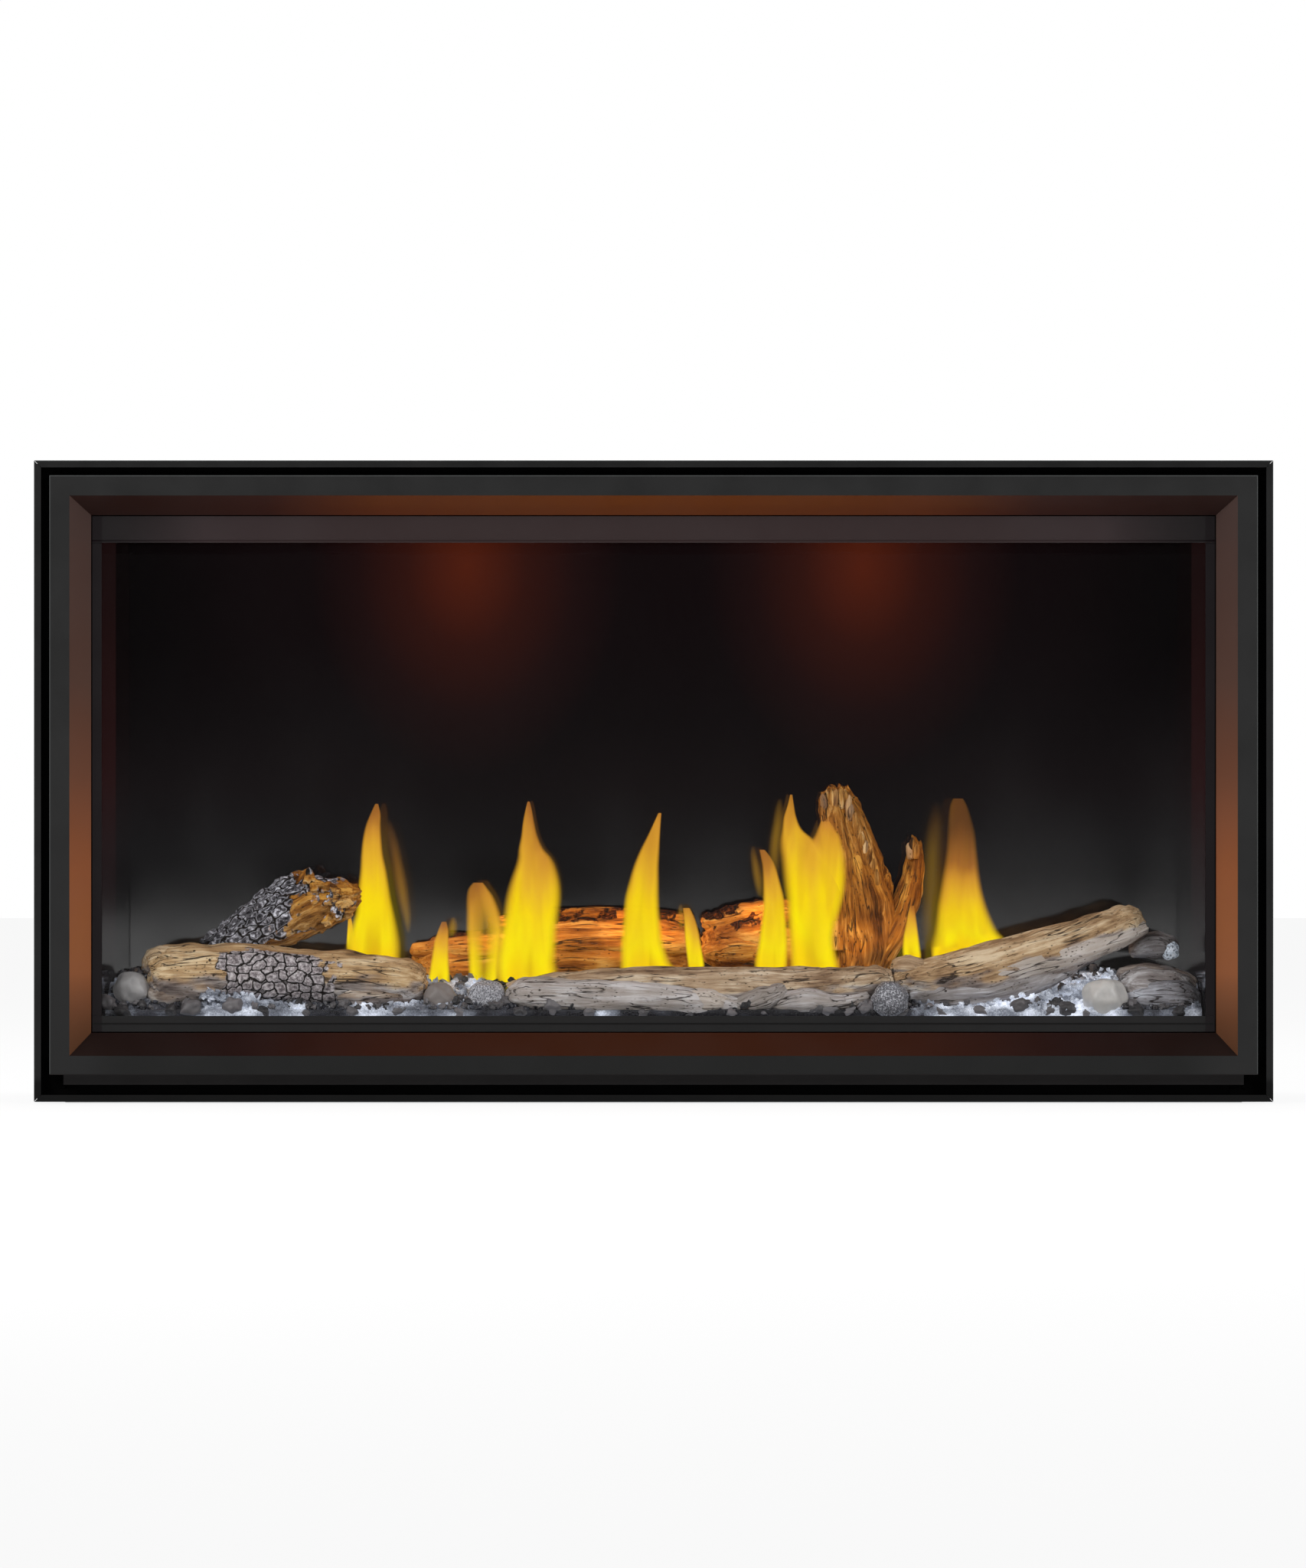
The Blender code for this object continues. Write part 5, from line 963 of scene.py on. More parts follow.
# Lobes and ridges that stand out of the logs: a tone from beige to grey, paler above 1 with painted light,
# and then across, down and radius in the photograph's pixels, with the depth in metres before the radius
LOBES = {
    "front_left_log": (
        (0.1, (192, 1266, 0.112, 10), (204, 1257, 0.107, 21), (224, 1258, 0.105, 21), (256, 1262, 0.106, 14)),
        (0.6, (196, 1300, 0.106, 12), (216, 1297, 0.102, 23), (262, 1291, 0.101, 22), (330, 1290, 0.106, 15)),
        (0.5, (416, 1298, 0.104, 10), (462, 1298, 0.098, 20), (520, 1298, 0.098, 18), (546, 1296, 0.103, 8)),
    ),
    "front_centre_log": (
        (
            1.35, (664, 1300, 0.094, 10), (688, 1299, 0.086, 22), (756, 1302, 0.082, 24),
            (832, 1305, 0.081, 24), (900, 1309, 0.080, 22), (960, 1314, 0.082, 14), (984, 1318, 0.088, 8),
        ),
        (1.6, (872, 1313, 0.086, 6), (904, 1308, 0.079, 19), (936, 1310, 0.079, 17), (962, 1315, 0.086, 8)),
        (1.3, (952, 1322, 0.084, 8), (984, 1309, 0.077, 17), (1010, 1300, 0.077, 15), (1030, 1291, 0.084, 8)),
        (1.3, (1006, 1316, 0.082, 11), (1048, 1308, 0.076, 19), (1092, 1311, 0.078, 15),
         (1134, 1304, 0.084, 9)),
    ),
    "front_right_log": (
        (0.2, (1168, 1263, 0.118, 8), (1183, 1262, 0.111, 16), (1204, 1265, 0.108, 14),
         (1218, 1270, 0.108, 8)),
        (
            1.15, (1190, 1303, 0.100, 10), (1232, 1299, 0.095, 19), (1292, 1294, 0.095, 20),
            (1352, 1279, 0.099, 17), (1404, 1262, 0.108, 9),
        ),
        (
            0.1, (1196, 1262, 0.112, 6), (1262, 1250, 0.110, 12), (1342, 1231, 0.115, 13),
            (1424, 1211, 0.122, 12), (1486, 1197, 0.130, 9),
        ),
        (
            1.50, (1226, 1281, 0.096, 9), (1300, 1271, 0.092, 16), (1380, 1251, 0.097, 17),
            (1450, 1230, 0.108, 14), (1496, 1211, 0.122, 9),
        ),
    ),
    "right_end_log": (
        (0.9, (1478, 1243, 0.152, 9), (1500, 1235, 0.148, 18), (1524, 1236, 0.146, 17),
         (1538, 1242, 0.146, 8)),
        (1.0, (1456, 1306, 0.102, 9), (1492, 1303, 0.093, 21), (1542, 1303, 0.093, 23),
         (1564, 1307, 0.100, 11)),
        (0.7, (1462, 1272, 0.112, 8), (1500, 1272, 0.110, 14), (1545, 1280, 0.108, 12),
         (1562, 1286, 0.108, 6)),
    ),
    "rear_left_log": (
        (
            0.0, (262, 1230, 0.176, 4), (306, 1206, 0.172, 11), (350, 1178, 0.168, 16),
            (386, 1153, 0.166, 15), (399, 1143, 0.166, 7),
        ),
        (
            0.0, (316, 1236, 0.160, 6), (362, 1229, 0.156, 11), (404, 1211, 0.154, 13),
            (440, 1192, 0.154, 13), (457, 1184, 0.154, 9),
        ),
    ),
    "rear_centre_log": (
        (0.0, (640, 1206, 0.262, 8), (740, 1196, 0.258, 11), (840, 1196, 0.258, 10), (906, 1202, 0.260, 7)),
        (
            0.0, (540, 1240, 0.250, 8), (620, 1236, 0.244, 16), (760, 1230, 0.238, 18),
            (880, 1232, 0.238, 18), (914, 1236, 0.242, 10),
        ),
    ),
    "stub_log": (
        (0.0, (920, 1204, 0.228, 10), (942, 1203, 0.222, 15), (970, 1196, 0.220, 17),
         (1000, 1192, 0.222, 16)),
        (0.0, (922, 1244, 0.220, 12), (958, 1238, 0.214, 22), (1004, 1236, 0.216, 20)),
    ),
    "forked_log": (
        (
            0.0, (1118, 1262, 0.236, 26), (1134, 1216, 0.236, 30), (1146, 1176, 0.238, 24),
            (1154, 1150, 0.240, 13), (1157, 1136, 0.240, 5),
        ),
        (
            0.0, (1140, 1264, 0.232, 16), (1166, 1226, 0.232, 16), (1184, 1184, 0.234, 15),
            (1193, 1146, 0.236, 13), (1195, 1116, 0.238, 11), (1194, 1101, 0.238, 5),
        ),
        (
            0.2, (1098, 1240, 0.230, 20), (1096, 1180, 0.226, 22), (1094, 1120, 0.226, 20),
            (1090, 1074, 0.228, 16), (1086, 1044, 0.230, 10),
        ),
        (
            0.3, (1128, 1190, 0.232, 16), (1132, 1140, 0.230, 17), (1122, 1096, 0.230, 15),
            (1110, 1058, 0.232, 12), (1103, 1038, 0.232, 6),
        ),
        (0.4, (1082, 1084, 0.228, 9), (1080, 1056, 0.226, 10), (1080, 1042, 0.228, 7),
         (1081, 1036, 0.230, 3)),
        (0.4, (1122, 1116, 0.230, 8), (1122, 1092, 0.229, 9), (1119, 1074, 0.230, 7), (1117, 1064, 0.232, 3)),
    ),
}

# Lumps where the charred log snapped: across, down and radius in the photograph's pixels
BROKEN_END = (
    (404, 1152, 11), (421, 1159, 11), (437, 1168, 10), (450, 1179, 9), (441, 1190, 10),
    (425, 1176, 12), (410, 1169, 11), (455, 1192, 8), (430, 1200, 9),
)
BROKEN_END_DEPTHS = (0.134, 0.146)
LUMP_SHARES = (1.2, 0.7, 0.8)

# Tips of the splinters along the forked log's broken rims, across and down in the photograph
SPLINTER_TIPS = (
    (1074, 1048), (1075, 1037), (1080, 1031), (1086, 1029), (1092, 1031), (1098, 1029), (1104, 1031),
    (1109, 1038), (1112, 1050), (1117, 1061), (1121, 1074), (1126, 1085), (1131, 1097), (1136, 1107),
    (1140, 1120), (1144, 1134), (1187, 1101), (1192, 1094), (1197, 1100),
)
SPLINTER_DEPTH = 0.224
SPLINTER_STRAY = 0.002
LOBE_SIDES = 40


def add_splinters(shape):
    """Short pale splinters that stand up along the broken rims of the forked log."""
    chance = random.Random(3)
    style = weathered(0.0007, 0.0006, 160.0)
    for index, (across, down) in enumerate(SPLINTER_TIPS):
        reach = chance.uniform(16, 32)
        lean = chance.uniform(-2.0, 2.0)
        depth = SPLINTER_DEPTH + chance.uniform(-SPLINTER_STRAY, SPLINTER_STRAY)
        rows = photo_rows((
            (across - lean, down + reach, depth + 0.004, 3.5),
            (across - lean / 2, down + reach / 2, depth, 4.5),
            (across, down + 4, depth, 3.5),
            (across, down, depth + 0.001, 1.2),
        ))
        tone = chance.uniform(0.5, 1.25)
        shape.add(*limb(rows, 40 + index, style, tone=tone, sides=14, ring=0.0020, ends=(0.0, 0.0005)))


def add_broken_end(shape):
    """Splintered lumps where the charred log snapped."""
    chance = random.Random(5)
    shell_points, shell_faces = ball(3)
    for across, down, radius in BROKEN_END:
        centre = photo_place(across, down, chance.uniform(*BROKEN_END_DEPTHS))
        size = radius * PIXEL
        turn = random_turn(chance)
        points, straight = [], []
        for corner in shell_points:
            flat = turn @ Vector([part * size * share for part, share in zip(corner, LUMP_SHARES)])
            coarse = noise.noise(flat * 90 + centre * 40)
            flat *= 1 + 0.9 * coarse + 0.5 * noise.noise(flat * 260 + centre * 90)
            points.append(centre + flat)
            straight.append(flat + centre)
        count = len(points)
        burn = [chance.uniform(0.1, 0.5)] * count
        tone = [chance.uniform(0.0, 0.5)] * count
        shape.add(points, shell_faces, {"straight": straight, "burn": burn, "tone": tone})


# How burnt a log is at a share of its length, by the height and depth of its surface from -1 to 1


def between(share, start, end, soft=0.03):
    rise = min(1.0, max(0.0, (share - start) / soft))
    return rise * min(1.0, max(0.0, (end - share) / soft))


def front_burn(share, high, deep):
    patch = between(share, 0.20, 0.72, 0.14) * between(high, -0.95, 1.0, 0.25)
    return patch * between(-deep, -0.3, 1.4, 0.2)


def rear_left_burn(share, high, _deep):
    return min(1.0, max(0.30, 1.95 + 0.6 * high - 2.2 * share))


def rear_left_ridge_burn(share, _high, _deep):
    return max(between(share, -0.1, 0.94), 0.4)


def rear_centre_burn(_share, high, _deep):
    return max(0.0, (high - 0.7) / 0.4)


def stub_burn(share, high, _deep):
    return between(share, -0.1, 0.75, 0.2) * max(0.0, high)


# The burn of each log, and of its lobes by their place in the list above
BURNS = {
    "front_left_log": front_burn,
    "rear_left_log": rear_left_burn,
    "rear_centre_log": rear_centre_burn,
    "stub_log": stub_burn,
}
LOBE_BURNS = {
    "rear_left_log": {0: rear_left_ridge_burn, 1: lambda share, high, deep: 0.36},
    "rear_centre_log": {0: lambda share, high, deep: 0.5},
    "stub_log": {0: stub_burn},
}
LOG_TONES = {"front_centre_log": 0.25, "front_right_log": 0.10, "right_end_log": 0.85}
LOG_FLATTEN = {"stub_log": 0.80, "forked_log": 0.62, "rear_left_log": 0.85}
LOG_ENDS = {
    "front_left_log": (0.007, 0.004),
    "rear_left_log": (0.002, 0.010),
    "forked_log": (0.002, 0.010),
    "stub_log": (0.005, 0.004),
    "rear_centre_log": (0.004, 0.002),
}
PLAIN_ENDS = (0.003, 0.003)
LOG_STYLES = {
    "front_left_log": charred(0.0010, 92.0),
    "rear_left_log": charred(0.0040, 70.0),
    "rear_centre_log": weathered(0.0026, 0.0014, 60.0),
    "stub_log": charred(0.0040, 60.0),
    "forked_log": weathered(0.0034, 0.0026, 85.0),
}
PLAIN_STYLE = weathered(0.0022, 0.0020)


def wood_looks():
    """The logs' materials: pale at the front, gold at the back, umber upright and charred. The gold, flaxen,
    umber and tan palettes and the warm char are painted firelight, and the back logs also glow with it as
    emission.
    """
    beige = ((92, 64, 42), (150, 117, 80), (188, 156, 114), (222, 198, 160))
    grey = ((66, 63, 66), (108, 105, 108), (146, 145, 150), (190, 192, 200))
    coal = ((90, 83, 85), (152, 144, 146), (204, 198, 200))
    # Painted firelight: the gold, flaxen, umber and tan palettes and the warm char of the back logs
    gold = ((84, 40, 12), (150, 88, 30), (188, 122, 50), (226, 170, 90))
    flaxen = ((84, 44, 14), (152, 94, 34), (196, 134, 56), (232, 184, 104))
    ember = ((24, 12, 8), (62, 30, 14), (120, 62, 24))
    umber = ((48, 24, 8), (110, 64, 20), (160, 103, 34), (212, 158, 72))
    tan = ((58, 34, 12), (118, 78, 34), (170, 126, 66), (222, 190, 136))
    soot = ((30, 28, 31), (94, 91, 96), (226, 226, 236))
    front = wood_look("driftwood_front", beige, grey, coal, 86.0)
    # The back logs also glow with painted firelight as emission
    rear = wood_look("driftwood_firelit", gold, flaxen, ember, 70.0, ((255, 170, 80), 0.07))
    fork = wood_look("driftwood_upright", umber, tan, ember, 70.0)
    black = wood_look("driftwood_charred", umber, tan, soot, 64.0)
    return front, {"rear_left_log": black, "rear_centre_log": rear, "stub_log": rear, "forked_log": fork}


def driftwood():
    front, looks = wood_looks()
    for seed, (name, rows) in enumerate(LOGS.items()):
        style = LOG_STYLES.get(name, PLAIN_STYLE)
        form = {"flatten": LOG_FLATTEN.get(name, 1.0), "ends": LOG_ENDS.get(name, PLAIN_ENDS)}
        tone, burn = LOG_TONES.get(name, 0.0), BURNS.get(name)
        shape = Shape()
        shape.add(*limb(bed_rows(rows), seed, style, tone=tone, burn=burn, **form))
        if name == "forked_log":
            shape.add(*limb(bed_rows(PRONG), seed + 8, style, **form))
            add_splinters(shape)
        if name == "rear_left_log":
            add_broken_end(shape)
        for index, (tone, *lobe) in enumerate(LOBES[name]):
            knob = {"tone": tone, "burn": LOBE_BURNS.get(name, {}).get(index), "sides": LOBE_SIDES}
            shape.add(*limb(photo_rows(lobe), seed + 9 + 3 * index, style, **knob, **form))
        slot = "charred_wood" if name == "rear_left_log" else "driftwood"
        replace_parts(shape.piece(name + "_wood", looks.get(name, front), slot), name)


# Stones, pebbles and crushed glass


def ball(detail):
    """Points and faces of a unit sphere made of triangles, from an icosahedron."""
    t = (1 + 5**0.5) / 2
    corners = (
        (-1, t, 0), (1, t, 0), (-1, -t, 0), (1, -t, 0), (0, -1, t), (0, 1, t),
        (0, -1, -t), (0, 1, -t), (t, 0, -1), (t, 0, 1), (-t, 0, -1), (-t, 0, 1),
    )
    points = [Vector(corner).normalized() for corner in corners]
    faces = [
        (0, 11, 5), (0, 5, 1), (0, 1, 7), (0, 7, 10), (0, 10, 11), (1, 5, 9), (5, 11, 4),
        (11, 10, 2), (10, 7, 6), (7, 1, 8), (3, 9, 4), (3, 4, 2), (3, 2, 6), (3, 6, 8),
        (3, 8, 9), (4, 9, 5), (2, 4, 11), (6, 2, 10), (8, 6, 7), (9, 8, 1),
    ]
    for _ in range(detail):
        middles = {}

        def middle(a, b):
            key = (min(a, b), max(a, b))
            if key not in middles:
                middles[key] = len(points)
                points.append(((points[a] + points[b]) / 2).normalized())
            return middles[key]

        finer = []
        for a, b, c in faces:
            ab, bc, ca = middle(a, b), middle(b, c), middle(c, a)
            finer += [(a, ab, ca), (b, bc, ab), (c, ca, bc), (ab, bc, ca)]
        faces = finer
    return points, faces


def random_turn(chance):
    axis = Vector([chance.uniform(-1, 1) for _ in range(3)]).normalized()
    return Matrix.Rotation(chance.uniform(0, 2 * math.pi), 3, axis)


def stone(shell, centre, radii, turn, seed, roughness):
    """A ball with these radii, knocked about by noise, with its own shade."""
    corners, faces = shell
    shift = Vector((seed, 2 * seed, 3 * seed))
    points = []
    for corner in corners:
        knock = 1 + roughness * noise.noise(corner * 1.6 + shift)
        points.append(centre + turn @ Vector([part * radius for part, radius in zip(corner, radii)]) * knock)
    return points, faces, {"own": [(seed * 7.3) % 1.0] * len(points)}


def stone_look(name, dark, pale, roughness, fleck=0.0, strength=0.0):
    """A river stone, speckled where fleck is above 0, and glowing with painted light where strength is above
    0. Each stone has its own shade between the two.
    """
    look = Look(name, roughness=roughness)
    place = look.place()
    mixed = look.noise(place, 70.0, 4.0) * 0.5 + look.stored("own") * 0.6
    colour = look.mix(look.spread(mixed, 0.15, 0.85), dark, pale)
    if fleck:
        speck = look.noise(place, fleck, 2.0)
        colour = look.mix(look.spread(speck, 0.51, 0.59, 0.0, 0.75), colour, (60, 60, 66))
        colour = look.mix(look.spread(speck, 0.45, 0.37, 0.0, 0.70), colour, (216, 218, 224))
    look.paint("Base Color", colour)
    # Painted light as emission
    if strength:
        look.paint("Emission Color", colour)
        look.paint("Emission Strength", strength)
    look.paint("Normal", look.bump(look.noise(place, 500.0, 3.0), 0.4, 0.0006))
    return look


# Each stone's slot, with the values of its look; the white stone and the lit crystal glow with painted light
# as emission
STONE_LOOKS = {
    "grey_stone": ("grey_stone", (84, 78, 76), (128, 120, 116), 0.5),
    "speckled_stone": ("speckled_stone", (104, 104, 110), (158, 158, 164), 0.7, 560.0),
    "white_stone": ("white_stone", (142, 140, 141), (200, 197, 192), 0.3, 0.0, 0.12),
    "ember_glass": ("lit_crystal", (128, 138, 150), (214, 224, 236), 0.2, 300.0, 0.35),
}

# Name, node, centre across and down in the photograph and radius in its pixels, depth in metres, slot
STONES = (
    ("stone_smooth_rock", "stone_smooth", (574, 1304, 22), 0.091, "grey_stone"),
    ("stone_speckled_rock", "stone_speckled", (1163, 1306, 25), 0.069, "speckled_stone"),
    ("stone_white_rock", "stone_white", (1443, 1302, 28), 0.078, "white_stone"),
    ("dome_rock", None, (637, 1306, 27), 0.094, "speckled_stone"),
    ("glass_rock", None, (172, 1291, 24), 0.100, "white_stone"),
    ("crystal_rock", None, (1528, 1241, 13), 0.140, "ember_glass"),
)
STONE_SHARES = (1.0, 0.9, 0.96)

# Pebbles along the front: across, down and radius in the photograph's pixels
PEBBLES = (
    (141, 1310, 12), (250, 1317, 14), (304, 1313, 13), (722, 1315, 13), (1065, 1315, 11),
    (1082, 1320, 12), (1333, 1313, 13), (1484, 1320, 11), (1394, 1317, 12), (460, 1322, 9),
    (520, 1321, 10), (680, 1322, 10), (770, 1322, 9), (160, 1322, 12), (1230, 1322, 9),
    (1280, 1320, 10), (1110, 1322, 9), (400, 1324, 8), (900, 1324, 7), (1000, 1323, 8),
    (224, 1320, 9), (345, 1321, 9), (600, 1322, 9), (1130, 1318, 10), (1370, 1321, 9),
    (1420, 1324, 8), (1540, 1322, 10), (1180, 1322, 8), (840, 1323, 8), (955, 1323, 8),
)
PEBBLE_DEPTH = 0.068
LOOSE_PEBBLES = 520
LOOSE_PEBBLE_RADII = (0.0025, 0.0066)
BED_MARGIN = 0.003

# Stretches across the photograph where few loose pebbles lie at the front
BARE_STRETCHES = ((188, 262), (664, 1062), (1186, 1330), (1404, 1462))
BARE_DEPTH = 0.100


def stones():
    looks = {slot: stone_look(*values) for slot, values in STONE_LOOKS.items()}
    shell = ball(4)
    for seed, (name, node, (across, down, radius), depth, slot) in enumerate(STONES):
        radii = [radius * PIXEL * share for share in STONE_SHARES]
        shape = Shape()
        shape.add(*stone(shell, photo_place(across, down, depth), radii, Matrix.Identity(3), seed + 3, 0.16))
        made = shape.piece(name, looks[slot], slot)
        if node:
            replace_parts(made, node)


def pebbles():
    """Pebbles along the front, and loose ones over the whole bed."""
    chance = random.Random(11)
    shell = ball(2)
    shape = Shape()
    for across, down, radius in PEBBLES:
        centre = photo_place(across, down, PEBBLE_DEPTH)
        size = radius * PIXEL
        radii = (size, size * chance.uniform(0.7, 1.0), size * chance.uniform(0.6, 0.85))
        turn = Matrix.Rotation(chance.uniform(-0.5, 0.5), 3, "Y")
        shape.add(*stone(shell, centre, radii, turn, chance.random() * 9, 0.45))
    for _ in range(LOOSE_PEBBLES):
        depth = BED_FRONT + BED_MARGIN + chance.random() ** 2.4 * BED_DEPTH * 0.95
        x = chance.uniform(-0.985, 0.985) * VIEW_HALF
        size = chance.uniform(*LOOSE_PEBBLE_RADII)
        across = PHOTO_WIDTH / 2 + (x - EYE_X) / PIXEL
        bare = depth < BARE_DEPTH and any(low < across < high for low, high in BARE_STRETCHES)
        if bare and chance.random() < 0.8:
            continue
        centre = Vector((x, FRONT_Y + depth, bed_height(depth) + size * 0.7))
        radii = (size, size * 0.9, size * 0.7)
        shape.add(*stone(shell, centre, radii, random_turn(chance), chance.random() * 9, 0.7))
    look = stone_look("dark_pebbles", (30, 29, 31), (112, 108, 110), 0.5)
    shape.piece("pebbles", look, "grey_stone")


# Where shards are heaped up in front of a log: across and down in the photograph, from one end of the
# heap to the other, with the depth in metres
HEAPS = (
    ((262, 1296), (330, 1306), 0.078),
    ((320, 1304), (402, 1322), 0.072),
    ((482, 1318), (548, 1320), 0.068),
    ((1288, 1312), (1372, 1302), 0.086),
    ((1360, 1302), (1452, 1272), 0.100),
    ((1290, 1322), (1430, 1320), 0.068),
    ((600, 1322), (662, 1322), 0.070),
)
HEAP_SHARDS = 110
SHARDS = 5200
SHARD_RADII = (0.0022, 0.0050)
SHARD_LIFT = (-0.001, 0.003)
SHARD_MARGIN = 0.002
FRONT_SHARD_REACH = 0.105
HEAP_SPREAD = (-0.003, 0.006)


def crushed_glass():
    """Loose shards over the whole ember bed, heaped up in places."""
    chance = random.Random(7)
    shell = ball(0)
    shape = Shape()
    for index in range(SHARDS):
        reach = FRONT_SHARD_REACH if index % 2 else BED_DEPTH - 2 * SHARD_MARGIN
        depth = BED_FRONT + SHARD_MARGIN + chance.random() * reach
        x = chance.uniform(-0.99, 0.99) * VIEW_HALF
        z = bed_height(depth) + chance.uniform(*SHARD_LIFT)
        add_shard(shape, shell, Vector((x, FRONT_Y + depth, z)), chance)
    for start, end, depth in HEAPS:
        for _ in range(HEAP_SHARDS):
            along = chance.random()
            across = start[0] + (end[0] - start[0]) * along
            down = start[1] + (end[1] - start[1]) * along
            centre = photo_place(across, down + chance.gauss(2, 4), depth + chance.uniform(*HEAP_SPREAD))
            centre.z = max(centre.z, bed_height(depth))
            add_shard(shape, shell, centre, chance)
    look = ember_look("crushed_glass_shards", 0.55, 900.0)
    shape.piece("glass_shards", look, "ember_glass", smooth=False)


def add_shard(shape, shell, centre, chance):
    size = chance.uniform(*SHARD_RADII)
    radii = (size, size * chance.uniform(0.5, 1.0), size * chance.uniform(0.3, 0.7))
    points, faces, _ = stone(shell, centre, radii, random_turn(chance), chance.random() * 9, 0.9)
    shape.add(points, faces)


# Flames: rows of (down, left, right) in the photograph's pixels, from the base to the tip
FLAMES = {
    "flame_1": (
        (1249, 454, 521), (1232, 454, 521), (1212, 459, 518), (1193, 465, 514), (1174, 467, 510),
        (1155, 469, 507), (1136, 471, 504), (1117, 472, 500), (1097, 474, 498), (1078, 478, 497),
        (1063, 484, 497), (1050, 490, 494),
    ),
    "flame_1_side": ((1246, 453, 464), (1228, 453, 463), (1210, 454, 461), (1195, 455, 458)),
    "flame_2": (
        (1289, 557, 588), (1270, 561, 587), (1251, 564, 586), (1231, 567, 586), (1216, 572, 586),
        (1204, 577, 583),
    ),
    "flame_3_left": (
        (1297, 616, 649), (1275, 613, 651), (1255, 612, 653), (1234, 611, 655), (1214, 610, 657),
        (1194, 610, 653), (1173, 610, 645), (1161, 612, 637), (1153, 618, 631),
    ),
    "flame_3": (
        (1289, 655, 690), (1275, 649, 724), (1255, 648, 725), (1234, 651, 726), (1214, 655, 727),
        (1194, 659, 729), (1173, 662, 731), (1153, 667, 730), (1132, 674, 725), (1120, 677, 719),
        (1108, 678, 709), (1092, 681, 702), (1075, 683, 698), (1059, 686, 695), (1047, 689, 692),
    ),
    "flame_4": (
        (1266, 811, 881), (1255, 811, 874), (1234, 811, 867), (1214, 813, 864), (1194, 815, 861),
        (1173, 817, 860), (1153, 822, 860), (1132, 828, 860), (1112, 836, 861), (1092, 846, 862),
        (1075, 854, 863), (1062, 860, 864),
    ),
    "flame_5": (
        (1264, 899, 920), (1247, 897, 918), (1230, 895, 915), (1214, 894, 912), (1198, 893, 907),
        (1186, 892, 901),
    ),
    "flame_6": (
        (1263, 986, 1028), (1247, 988, 1029), (1230, 991, 1029), (1214, 993, 1028), (1194, 996, 1026),
        (1173, 997, 1024), (1153, 997, 1019), (1132, 996, 1013), (1120, 994, 1007), (1110, 992, 999),
    ),
    "flame_7": (
        (1264, 1033, 1096), (1247, 1032, 1092), (1230, 1031, 1089), (1214, 1030, 1090), (1194, 1029, 1095),
        (1173, 1028, 1099), (1156, 1026, 1100), (1139, 1024, 1097), (1122, 1022, 1088), (1108, 1020, 1075),
        (1096, 1020, 1062), (1083, 1022, 1047), (1067, 1024, 1040), (1051, 1029, 1037), (1038, 1032, 1035),
    ),
    "flame_7_right": (
        (1214, 1040, 1090), (1194, 1042, 1096), (1173, 1042, 1101), (1150, 1040, 1104), (1132, 1044, 1104),
        (1116, 1050, 1103), (1104, 1056, 1100), (1092, 1064, 1097), (1083, 1068, 1091), (1073, 1072, 1084),
    ),
    "flame_8": (
        (1252, 1180, 1203), (1240, 1179, 1202), (1224, 1180, 1200), (1209, 1183, 1198), (1194, 1186, 1196),
        (1183, 1189, 1194),
    ),
    "flame_9": (
        (1243, 1217, 1250), (1235, 1218, 1296), (1226, 1220, 1309), (1217, 1222, 1302), (1201, 1224, 1294),
        (1182, 1226, 1287), (1163, 1229, 1282), (1144, 1232, 1279), (1125, 1235, 1277), (1106, 1237, 1275),
        (1087, 1238, 1273), (1067, 1239, 1268), (1052, 1241, 1263), (1043, 1245, 1258),
    ),
    # Painted reflections: glowing tubes for the flames' faint images in the glossy back
    "flame_1_reflection": (
        (1220, 532, 535), (1200, 527, 536), (1175, 521, 533), (1150, 516, 529), (1125, 512, 524),
        (1100, 508, 519), (1082, 505, 514), (1070, 506, 510),
    ),
    "flame_2_reflection": ((1224, 586, 593), (1214, 586, 596), (1205, 588, 596), (1197, 590, 594)),
    "flame_5_reflection": ((1214, 887, 893), (1200, 886, 893), (1188, 886, 892), (1180, 888, 891)),
    "flame_6_reflection": (
        (1172, 990, 995), (1152, 986, 995), (1132, 983, 992), (1115, 981, 988),
        (1104, 982, 986),
    ),
    "flame_7_reflection": (
        (1152, 1010, 1017), (1127, 1006, 1017), (1100, 1007, 1018), (1075, 1011, 1021), (1055, 1014, 1022),
        (1042, 1017, 1021),
    ),
    "flame_9_reflection": (
        (1243, 1207, 1221), (1215, 1205, 1221), (1180, 1206, 1223), (1140, 1208, 1226), (1100, 1211, 1229),
        (1070, 1215, 1230), (1046, 1219, 1227),
    ),
}
FLAME_SIDES = 32
FLAME_ROW = 5
FLAME_THINNEST = 0.0006
FLAME_FLATTEN = 0.45

# Depth behind the front plane, and how much wider than its outline the soft rim of a flame is
FLAME_DEPTH = 0.180
FLAME_SOFT = 1.12
# The painted reflections stand a little further back and softer
REFLECTION_DEPTH = 0.200
REFLECTION_SOFT = 1.7

# How soon a flame thins out, how hollow it looks at its middle, and the tongues of another flame
FLAME_THINNING = {"flame_9": 1.80, "flame_3": 1.05, "flame_1": 1.02, "flame_7_right": 1.0}
FLAME_HOLLOWS = {"flame_3_left": 0.85, "flame_4": 0.25, "flame_7": 0.30}
TONGUES = {"flame_1_side", "flame_7_right"}

# How much is there of each painted reflection: a glowing tube that stands in for the faint image of a flame
# in the glossy back
FLAME_REFLECTION_SHARES = {
    "flame_1_reflection": 0.31,
    "flame_2_reflection": 0.28,
    "flame_5_reflection": 0.26,
    "flame_6_reflection": 0.26,
    "flame_7_reflection": 0.25,
    "flame_9_reflection": 0.19,
}


